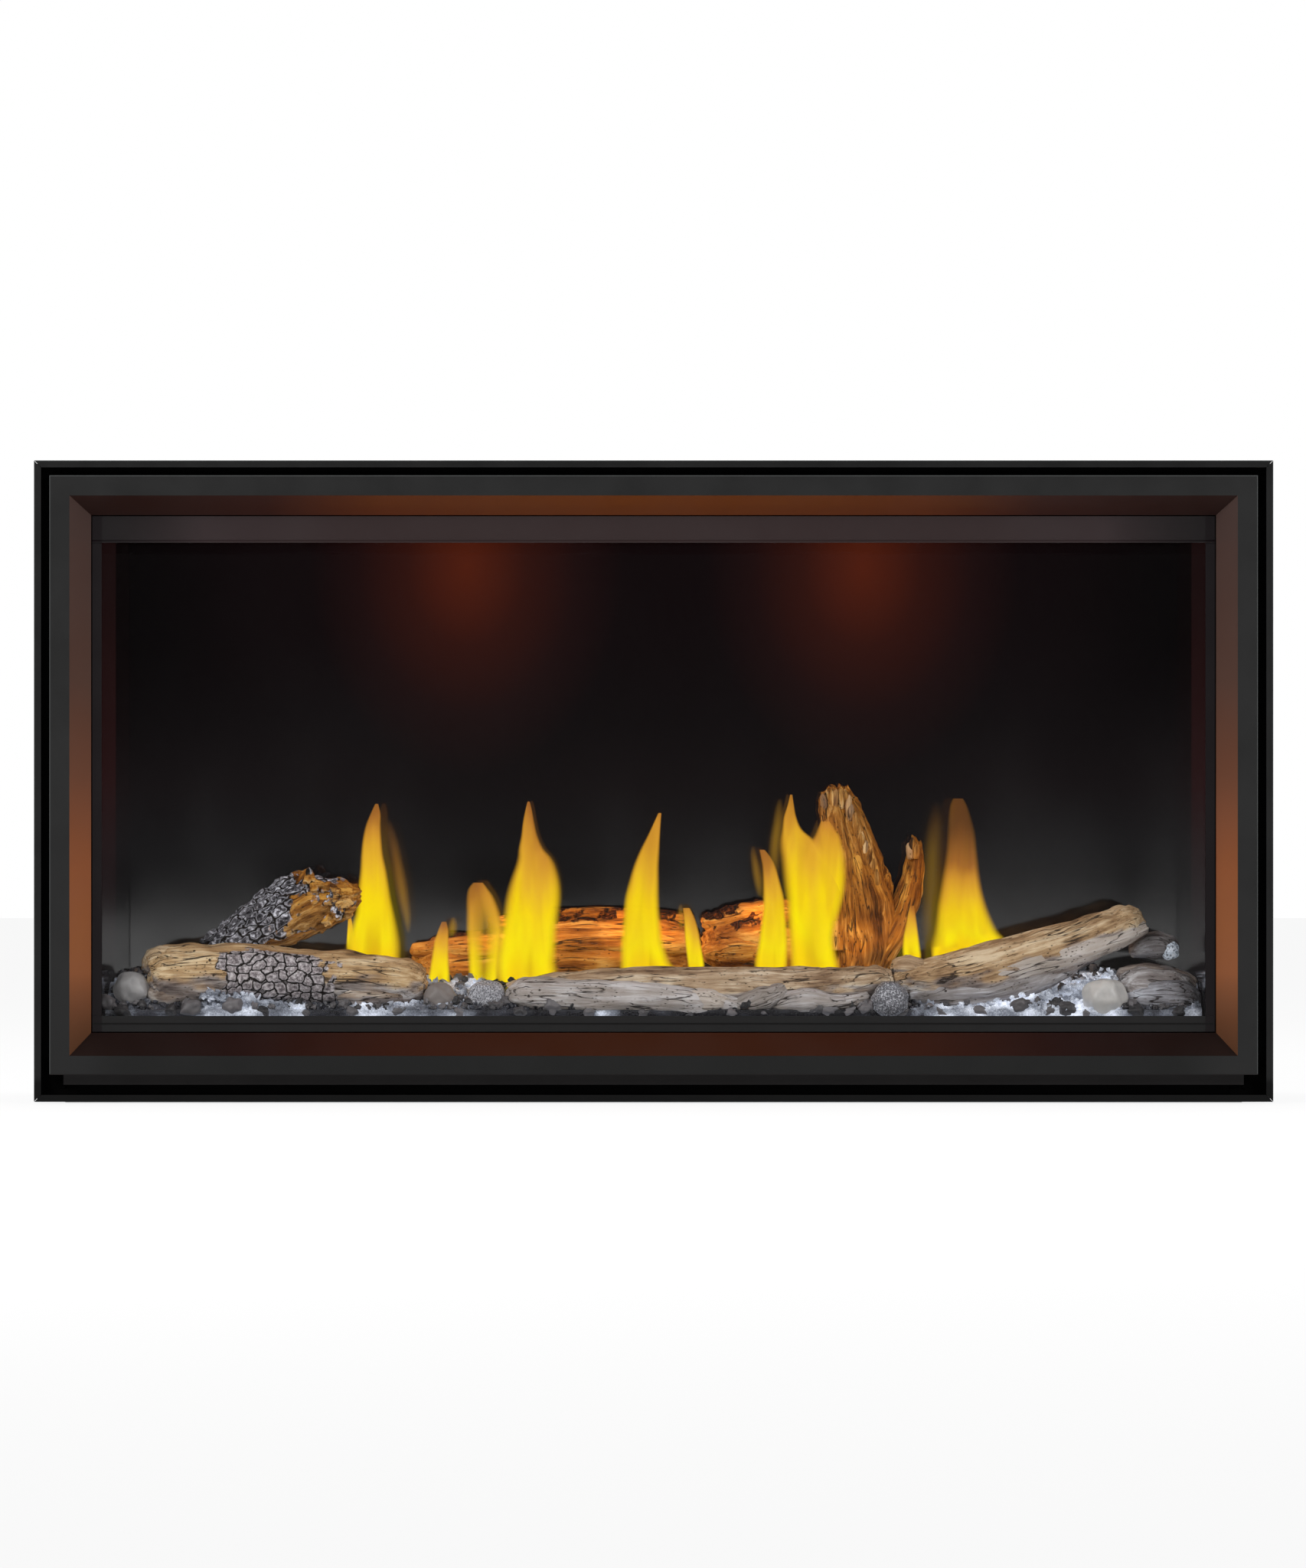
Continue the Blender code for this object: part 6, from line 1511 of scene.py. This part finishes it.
def flame_look():
    """Glowing gas: clear yellow low down, amber and thinner towards the tip and the rim."""
    look = Look("flame", base_color=(0.0, 0.0, 0.0, 1.0), roughness=1.0, specular_ior_level=0.0)
    height = look.stored("height")
    rim = look.stored("rim")
    place = look.place()
    lick = look.noise(look.stretched(place, (34.0, 34.0, 8.0)), 1.0, 2.0)
    strand = look.noise(look.stretched(place, (62.0, 62.0, 7.0)), 1.0, 1.0, 0.5, 0.8)
    level = height + (lick - 0.5) * 0.7
    body = look.ramp(
        level,
        (0.00, 255, 216, 6), (0.18, 255, 232, 8), (0.42, 250, 214, 22),
        (0.62, 236, 184, 44), (0.85, 218, 152, 52), (1.00, 184, 116, 50),
    )
    hollow = look.spread(height, 0.34, 0.04) * look.spread(rim, 0.5, 0.1) * look.spread(strand, 0.42, 0.60)
    colour = look.mix(hollow * 0.55, body, (204, 142, 16))
    colour = look.mix(look.spread(strand, 0.55, 0.32) * 0.26, colour, (214, 156, 30))
    colour = look.mix(look.spread(rim, 0.55, 1.0) * 0.6, colour, (196, 134, 30))
    look.paint("Emission Color", colour)
    look.paint("Emission Strength", 1.1)
    thin = look.spread(level, 0.35, 1.50, 0.97, 0.12)
    fade = look.spread(rim, 0.62, 1.0, 1.0, 0.0)
    look.paint("Alpha", thin * fade * look.spread(look.stored("root"), 0.0, 1.0))
    return look


def flame_values(name, risen, rim):
    """How high up its flame a point counts, how near the rim, and how much of the flame is there."""
    risen = max(0.0, risen)
    if name in FLAME_REFLECTION_SHARES:
        there = FLAME_REFLECTION_SHARES[name] * math.sin(math.pi * min(1.0, risen)) ** 0.4
        return 0.60 + 0.30 * risen, 0.60 + 0.40 * rim, there
    there = risen * 2.2 if name in TONGUES else 1.0
    opened = math.sin(math.pi * (0.15 + 0.85 * min(1.0, risen)))
    there *= 1 - FLAME_HOLLOWS.get(name, 0.0) * (1 - rim) * opened
    return risen * FLAME_THINNING.get(name, 1.0), rim, there


def flame_tube(name, rows):
    """A tube, flat in depth, that follows the flame's outline: points, faces and stored values."""
    depth, soft = (REFLECTION_DEPTH, REFLECTION_SOFT) if name in FLAME_REFLECTION_SHARES else (FLAME_DEPTH, FLAME_SOFT)
    bottom, top = rows[0][0], rows[-1][0]
    bed_row = PHOTO_HEIGHT / 2 + (EYE_Z - bed_height(FLAME_DEPTH)) / PIXEL
    if bottom < bed_row and name not in FLAME_REFLECTION_SHARES and name not in TONGUES:
        rows = ((bed_row, rows[0][1] + 3, rows[0][2] - 3), *rows)
    points, faces, rings = [], [], []
    values = {"height": [], "rim": [], "root": []}
    for _, (down, left, right) in smooth_rows(rows, FLAME_ROW):
        start, end = photo_place(left, down, depth), photo_place(right, down, depth)
        half = max((end.x - start.x) / 2 * soft, FLAME_THINNEST)
        rings.append(range(len(points), len(points) + FLAME_SIDES))
        for step in range(FLAME_SIDES):
            angle = 2 * math.pi * step / FLAME_SIDES
            offset = Vector((math.cos(angle) * half, math.sin(angle) * half * FLAME_FLATTEN, 0))
            points.append((start + end) / 2 + offset)
            risen = (bottom - down) / (bottom - top)
            for key, value in zip(values, flame_values(name, risen, abs(math.cos(angle)))):
                values[key].append(value)
    for one, two in zip(rings, rings[1:]):
        faces += band(one, two)
    faces.append(tuple(reversed(rings[0])))
    faces.append(tuple(rings[-1]))
    return points, faces, values


def flames():
    look = flame_look()
    for name, rows in FLAMES.items():
        shape = Shape()
        shape.add(*flame_tube(name, rows))
        shape.piece(name, look).visible_shadow = False


# Light of the fire: across and down in the photograph's pixels, depth in metres, power in watts
FIRE_BULBS = (
    (487, 1200, 0.195, 0.14),
    (670, 1200, 0.205, 0.20),
    (840, 1200, 0.205, 0.20),
    (1000, 1190, 0.190, 0.10),
    (1062, 1130, 0.186, 0.09),
    (1112, 1236, 0.190, 0.04),
    (1190, 1215, 0.186, 0.05),
    (1255, 1150, 0.195, 0.12),
)
FIRE_BULB_RADIUS = 0.02
FIRE_COLOUR = (1.0, 0.55, 0.16)
STRIP_SIZE = (1.22, 0.008)
STRIP_GAP = 0.004
STRIP_LIFT = 0.002
STRIP_AIM_BACK = 0.02
STRIP_AIM_LIFT = 0.03
STRIP_POWER = 1.2
STRIP_COLOUR = (0.86, 0.92, 1.0)
GLOW_LEAD = 0.04
GLOW_RADIUS = 0.03
GLOW_POWER = 0.5
GLOW_COLOUR = (1.0, 0.30, 0.10)


def firelight():
    """The light that the flames, the light strip and the two lamps give."""
    for index, (across, down, depth, power) in enumerate(FIRE_BULBS):
        bulb(f"fire_{index}", photo_place(across, down, depth), FIRE_BULB_RADIUS, power, FIRE_COLOUR)
    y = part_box("led_strip")[1].y + STRIP_GAP
    target = (0, y + STRIP_AIM_BACK, VIEW_BOTTOM + STRIP_AIM_LIFT)
    lamp("strip_light", (0, y, VIEW_BOTTOM + STRIP_LIFT), target, STRIP_SIZE, STRIP_POWER, STRIP_COLOUR)
    for node in TOP_LIGHTS:
        low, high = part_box(node)
        place = ((low.x + high.x) / 2, low.y - GLOW_LEAD, VIEW_TOP - GLOW_DROP)
        bulb("glow_" + node, place, GLOW_RADIUS, GLOW_POWER, GLOW_COLOUR)


# Screws, seam strips and pressed ribs

SCREW_RADIUS = 0.0042
SCREW_SIDES = 18

# A screw's rings, from its seat up: radius and height in shares of its own radius, and whether six-sided
SCREW_RINGS = (
    (1.35, 0.0, False),
    (1.35, 0.18, False),
    (1.02, 0.32, False),
    (0.96, 0.34, True),
    (0.96, 0.86, True),
    (0.72, 1.02, True),
)
SEAM_WIDTH = 0.020
SEAM_HALF = SEAM_WIDTH / 2
SEAM_THICK = 0.0012
RIB_WIDTH = 0.018
RIB_HEIGHT = 0.0050
RIB_STEPS = 10
RIB_ROWS = 24


def hex_screw(place, normal, radius=SCREW_RADIUS):
    """A washer-faced hexagon head that stands on a surface."""
    turn = Vector((0, 0, 1)).rotation_difference(Vector(normal)).to_matrix()
    points, faces, rings = [], [], []
    for size, lift, hexagon in SCREW_RINGS:
        rings.append(range(len(points), len(points) + SCREW_SIDES))
        for step in range(SCREW_SIDES):
            angle = 2 * math.pi * step / SCREW_SIDES
            reach = radius * size
            if hexagon:
                part = (angle + math.pi / 6) % (math.pi / 3) - math.pi / 6
                reach = reach * math.cos(math.pi / 6) / math.cos(part)
            flat = Vector((math.cos(angle) * reach, math.sin(angle) * reach, radius * lift))
            points.append(Vector(place) + turn @ flat)
    for one, two in zip(rings, rings[1:]):
        faces += band(one, two)
    faces.append(tuple(rings[-1]))
    faces.append(tuple(reversed(rings[0])))
    return points, faces


def strip(low, high):
    """A thin flat bar between two corners, with its outer edges bevelled."""
    low, high = Vector(low), Vector(high)
    size = high - low
    thin = min(range(3), key=lambda axis: size[axis])
    first, second = [axis for axis in range(3) if axis != thin]
    faces_out = low[thin] + high[thin] >= 0
    points = []
    for share, inset in ((0.0, 0.0), (0.5, 0.0), (1.0, size[thin] * 0.8)):
        for a, b in ((0, 0), (1, 0), (1, 1), (0, 1)):
            point = Vector(low)
            point[thin] += size[thin] * (share if faces_out else 1 - share)
            point[first] += size[first] - inset if a else inset
            point[second] += size[second] - inset if b else inset
            points.append(point)
    foot, edge, top = range(4), range(4, 8), range(8, 12)
    return points, [*band(foot, edge), *band(edge, top), tuple(foot), tuple(top)]


def rib(start, end, out):
    """A pressed stiffening bead with round ends, from start to end, standing out of a sheet."""
    start, end, out = Vector(start), Vector(end), Vector(out)
    along = (end - start).normalized()
    across = out.cross(along)
    length = (end - start).length
    points, faces, rows = [], [], []
    for row in range(RIB_ROWS + 1):
        share = 0.5 - 0.5 * math.cos(math.pi * row / RIB_ROWS)
        near_end = min(share, 1 - share) * length
        swell = math.sqrt(max(0.0, 1 - max(0.0, 1 - near_end / (RIB_WIDTH / 2)) ** 2))
        rows.append(range(len(points), len(points) + RIB_STEPS + 1))
        for step in range(RIB_STEPS + 1):
            angle = math.pi * step / RIB_STEPS
            reach = math.cos(angle) * RIB_WIDTH / 2 * swell
            lift = math.sin(angle) ** 0.6 * RIB_HEIGHT * swell
            points.append(start + along * share * length + across * reach + out * lift)
    for one, two in zip(rows, rows[1:]):
        faces += band(one, two)
    return points, faces


def spaced(start, end, count):
    return [start + (end - start) * step / (count - 1) for step in range(count)]


# The casing's outside, from its solids, then how many screws and ribs it has and where they start
CASING_LEFT, CASING_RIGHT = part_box("casing_left")[0].x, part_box("casing_right")[1].x
CASING_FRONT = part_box("casing_left")[0].y
CASING_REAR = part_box("casing_back")[1].y
CASING_FLOOR, CASING_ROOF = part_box("casing_back")[0].z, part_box("casing_left")[1].z
SIDES = ((-1, CASING_LEFT), (1, CASING_RIGHT))
SCREWS_ACROSS = 11
SCREWS_UP = 6
TOP_SCREWS = 9
BACK_RIBS = 4
SIDE_RIBS = 3
TOP_RIBS = 3
SIDE_SEAM_SETBACK = 0.004
VENT_CLEARANCE = 0.03
BACK_RIB_ENDS = 0.06
BACK_RIB_RISE = 0.11
SIDE_RIB_INSET = 0.10
SIDE_RIB_ENDS = 0.07
TOP_RIB_HALF = 0.36
TOP_RIB_INSET = 0.07
TOP_SCREW_INSET = 0.03
TOP_SCREW_ROWS = (CASING_FRONT + 0.022, CASING_REAR - 0.012)
FLAP_MIDDLE = 0.43
FLAP_CLEARANCE = 0.03
STANDOFF_CLEARANCE = 0.05
FLANGE_INSET = 0.0050
FLANGE_THICK = 0.0023
FLANGE_SCREW_RADIUS = 0.0028
FLANGE_SCREWS = 8


def back_hardware(seams, ribs, screws):
    left, right, floor_z, roof = CASING_LEFT, CASING_RIGHT, CASING_FLOOR, CASING_ROOF
    rear, skin = CASING_REAR, CASING_REAR + SEAM_THICK
    seams.add(*strip((left, rear, floor_z), (right, skin, floor_z + SEAM_WIDTH)))
    seams.add(*strip((left, rear, roof - SEAM_WIDTH), (right, skin, roof)))
    for x in (left, right - SEAM_WIDTH):
        seams.add(*strip((x, rear, floor_z + SEAM_WIDTH), (x + SEAM_WIDTH, skin, roof - SEAM_WIDTH)))
    across, up = (left + SEAM_HALF, right - SEAM_HALF), (floor_z + SEAM_HALF, roof - SEAM_HALF)
    places = [(x, z) for x in spaced(*across, SCREWS_ACROSS) for z in up]
    places += [(x, z) for z in spaced(*up, SCREWS_UP)[1:-1] for x in across]
    for x, z in places:
        screws.add(*hex_screw((x, skin, z), (0, 1, 0)))
    vent_low, vent_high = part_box("intake_collar")
    clear = (vent_high.x - vent_low.x) / 2 + VENT_CLEARANCE
    centre = (vent_high.x + vent_low.x) / 2
    for z in spaced(floor_z + BACK_RIB_RISE, roof - BACK_RIB_RISE, BACK_RIBS):
        for start, end in ((left + BACK_RIB_ENDS, centre - clear), (centre + clear, right - BACK_RIB_ENDS)):
            ribs.add(*rib((start, rear, z), (end, rear, z), (0, 1, 0)))


def side_hardware(seams, ribs, screws):
    for sign, x in SIDES:
        skin = x + sign * SEAM_THICK
        near, far = sorted((x, skin))
        for y in (CASING_FRONT + SIDE_SEAM_SETBACK, CASING_REAR - SEAM_WIDTH):
            seams.add(*strip((near, y, CASING_FLOOR), (far, y + SEAM_WIDTH, CASING_ROOF)))
            for z in spaced(CASING_FLOOR + SEAM_HALF, CASING_ROOF - SEAM_HALF, SCREWS_UP):
                screws.add(*hex_screw((skin, y + SEAM_HALF, z), (sign, 0, 0)))
        for y in spaced(CASING_FRONT + SIDE_RIB_INSET, CASING_REAR - SIDE_RIB_INSET, SIDE_RIBS):
            start, end = (x, y, CASING_FLOOR + SIDE_RIB_ENDS), (x, y, CASING_ROOF - SIDE_RIB_ENDS)
            ribs.add(*rib(start, end, (sign, 0, 0)))


def top_hardware(ribs, screws):
    standoff_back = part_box("casing_top")[1].y - STANDOFF_CLEARANCE
    for y in spaced(CASING_FRONT + TOP_RIB_INSET, CASING_REAR - TOP_RIB_INSET, TOP_RIBS):
        ribs.add(*rib((-TOP_RIB_HALF, y, CASING_ROOF), (TOP_RIB_HALF, y, CASING_ROOF), (0, 0, 1)))
    for x in spaced(CASING_LEFT + TOP_SCREW_INSET, CASING_RIGHT - TOP_SCREW_INSET, TOP_SCREWS):
        for y in TOP_SCREW_ROWS:
            if abs(abs(x) - FLAP_MIDDLE) > FLAP_CLEARANCE or y > standoff_back:
                screws.add(*hex_screw((x, y, CASING_ROOF), (0, 0, 1)))


def collar_screws(screws):
    for name, seat in (("exhaust_collar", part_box("firebox_back")[1].y), ("intake_collar", CASING_REAR)):
        low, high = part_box(name)
        reach = (high.x - low.x) / 2 - FLANGE_INSET
        for step in range(FLANGE_SCREWS):
            angle = math.pi / FLANGE_SCREWS + 2 * math.pi * step / FLANGE_SCREWS
            x = (low.x + high.x) / 2 + math.cos(angle) * reach
            z = (low.z + high.z) / 2 + math.sin(angle) * reach
            screws.add(*hex_screw((x, seat + FLANGE_THICK, z), (0, 1, 0), FLANGE_SCREW_RADIUS))


def casing_details(sheet):
    """Seam strips, pressed ribs and screws on the outside of the casing."""
    seams, ribs, screws = Shape(), Shape(), Shape()
    back_hardware(seams, ribs, screws)
    side_hardware(seams, ribs, screws)
    top_hardware(ribs, screws)
    collar_screws(screws)
    seams.piece("casing_seams", sheet, "galvanised", smooth=False)
    ribs.piece("casing_ribs", sheet, "galvanised")
    zinc = metal_look("zinc_plated", (150, 150, 148), (196, 196, 190), 0.32)
    screws.piece("casing_screws", zinc, "galvanised", smooth=False)


# The blank data plate, low on the back
PLATE_LEFT = 0.40
PLATE_LIFT = 0.160
PLATE_SIZE = (0.110, 0.070)
PLATE_THICK = 0.0006
PLATE_PIN_INSET = 0.006
PLATE_PIN_RADIUS = 0.0014


def data_plate():
    """A blank foil plate with four drive pins."""
    rear = CASING_REAR
    left, foot = PLATE_LEFT, CASING_FLOOR + PLATE_LIFT
    low = Vector((left, rear, foot))
    shape = Shape()
    shape.add(*strip(low, low + Vector((PLATE_SIZE[0], PLATE_THICK, PLATE_SIZE[1]))))
    for x in (left + PLATE_PIN_INSET, left + PLATE_SIZE[0] - PLATE_PIN_INSET):
        for z in (foot + PLATE_PIN_INSET, foot + PLATE_SIZE[1] - PLATE_PIN_INSET):
            shape.add(*hex_screw((x, rear + PLATE_THICK, z), (0, 1, 0), PLATE_PIN_RADIUS))
    foil = metal_look("foil_plate", (196, 198, 200), (222, 224, 226), 0.36, 0.6, 20.0, (60.0, 1.0, 1.0))
    shape.piece("data_plate", foil, "galvanised", smooth=False)


# The trim's corner keys, and their gaps from the trim's flange and the face frame
KEY_BACK = 0.0034
KEY_INSET = 0.0024
KEY_CLEARANCE = 0.0008
KEY_REACH = 0.0460
KEY_THICK = 0.0010
KEY_SCREW_RADIUS = 0.0022


def corner_key(sign, top):
    """One flat L-shaped key, with its screws' places, in the corner of this side and end."""
    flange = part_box("trim_left")[1].y - KEY_BACK
    outer_x, inner_x = TRIM_HIGH.x - KEY_INSET, FACE_HIGH.x + KEY_CLEARANCE
    edge = TRIM_HIGH.z - KEY_INSET if top else TRIM_LOW.z + KEY_INSET
    inner_z = FACE_HIGH.z + KEY_CLEARANCE if top else FACE_FLAT_LOW - KEY_CLEARANCE
    tip_x, tip_z = outer_x - KEY_REACH, edge - KEY_REACH if top else edge + KEY_REACH
    outline = ((outer_x, edge), (outer_x, tip_z), (inner_x, tip_z))
    outline += ((inner_x, inner_z), (tip_x, inner_z), (tip_x, edge))
    points = [Vector((sign * x, flange + back, z)) for back in (0.0, KEY_THICK) for x, z in outline]
    front, rear = range(6), range(6, 12)
    flip = (sign > 0) == top
    faces = [tuple(reversed(front)), tuple(rear)] if flip else [tuple(front), tuple(reversed(rear))]
    faces += band(front, rear) if flip else [tuple(reversed(side)) for side in band(front, rear)]
    middle_x, middle_z = sign * (outer_x + inner_x) / 2, (edge + inner_z) / 2
    screws = (middle_x, flange, (inner_z + tip_z) / 2), (sign * (tip_x + inner_x) / 2, flange, middle_z)
    return points, faces, screws


def corner_keys():
    """Flat L-shaped keys that join the trim's mitred bars, each with two screws."""
    shape = Shape()
    for sign in (-1, 1):
        for top in (False, True):
            points, faces, screws = corner_key(sign, top)
            shape.add(points, faces)
            for place in screws:
                shape.add(*hex_screw(place, (0, -1, 0), KEY_SCREW_RADIUS))
    # Near black with almost no specular: painted shade, as on the recess's inner faces
    look = metal_look("steel_in_painted_shade", (3, 3, 3), (5, 5, 5), 0.7, 0.0)
    look.paint("Specular IOR Level", 0.03)
    shape.piece("trim_corner_keys", look, "trim_black", smooth=False)


# Name, dark and pale shade and roughness of each metal's look, its metallic share, scale and stretch
# where they differ, and last the CAD nodes that have it
METALS = (
    ("collar_steel", (138, 142, 146), (176, 180, 184), 0.34, 0.9, 8.0, (1.0, 12.0, 1.0),
     ("exhaust_collar", "intake_collar")),
    ("aluminised_steel", (112, 110, 106), (150, 148, 142), 0.45, 0.85, ("burner_tube", "pilot_assembly")),
    ("brass", (160, 120, 54), (206, 164, 84), 0.28, ("orifice_fitting", "shutoff_valve", "air_shutter")),
    ("cast_aluminium", (140, 142, 144), (178, 180, 182), 0.42, 0.9, 90.0, (1.0, 1.0, 1.0), ("gas_valve",)),
    ("steel_pipe", (96, 96, 96), (132, 132, 130), 0.38, 0.9, ("gas_supply_pipe", "burner_feed_pipe")),
    ("lamp_housing", (96, 62, 44), (140, 96, 68), 0.40, 0.6, TOP_LIGHTS),
)
PLASTICS = (
    ("knob_plastic", (24, 24, 24), (36, 36, 36), 0.45, "valve_knob"),
    ("lever_coating", (196, 150, 20), (224, 180, 40), 0.32, "shutoff_lever"),
    ("module_plastic", (44, 46, 48), (62, 64, 66), 0.5, "control_module"),
    ("electrode_ceramic", (206, 202, 190), (232, 228, 218), 0.25, "igniter_electrode"),
)


def dress_nodes(sheet):
    """Gives the CAD nodes that no piece replaces their materials."""
    dress(sheet, "casing_back", "casing_top", "casing_bottom", "casing_left", "casing_right")
    dress(sheet, "base_rail_front", "base_rail_rear", "relief_flap_left", "relief_flap_right", "junction_box")
    dress(trim_look(), "trim_top", "trim_bottom", "trim_left", "trim_right")
    dress(face_look(), "face_frame")
    dress(door_look(), "glass_rail_top", "glass_rail_bottom", "glass_stile_left", "glass_stile_right")
    firebox = firebox_look()
    dress(firebox, "firebox_back", "firebox_top", "firebox_left", "firebox_right", "firebox_floor")
    dress(firebox, "burner_tray")
    dress(liner_back_look(), "liner_back")
    dress(liner_side_look(), "liner_left", "liner_right")
    dress(pane_look(), "glass_pane")
    dress(gasket_look(), "door_gasket")
    dress(ember_look("ember_glass", 0.45, 500.0), "ember_bed")
    dress(strip_look(), "led_strip")
    for *values, nodes in METALS:
        dress(metal_look(*values), *nodes)
    for *values, node in PLASTICS:
        dress(plastic_look(*values), node)


studio()
galvanised = galvanised_look()
dress_nodes(galvanised)
driftwood()
stones()
pebbles()
crushed_glass()
flames()
firelight()
casing_details(galvanised)
data_plate()
corner_keys()
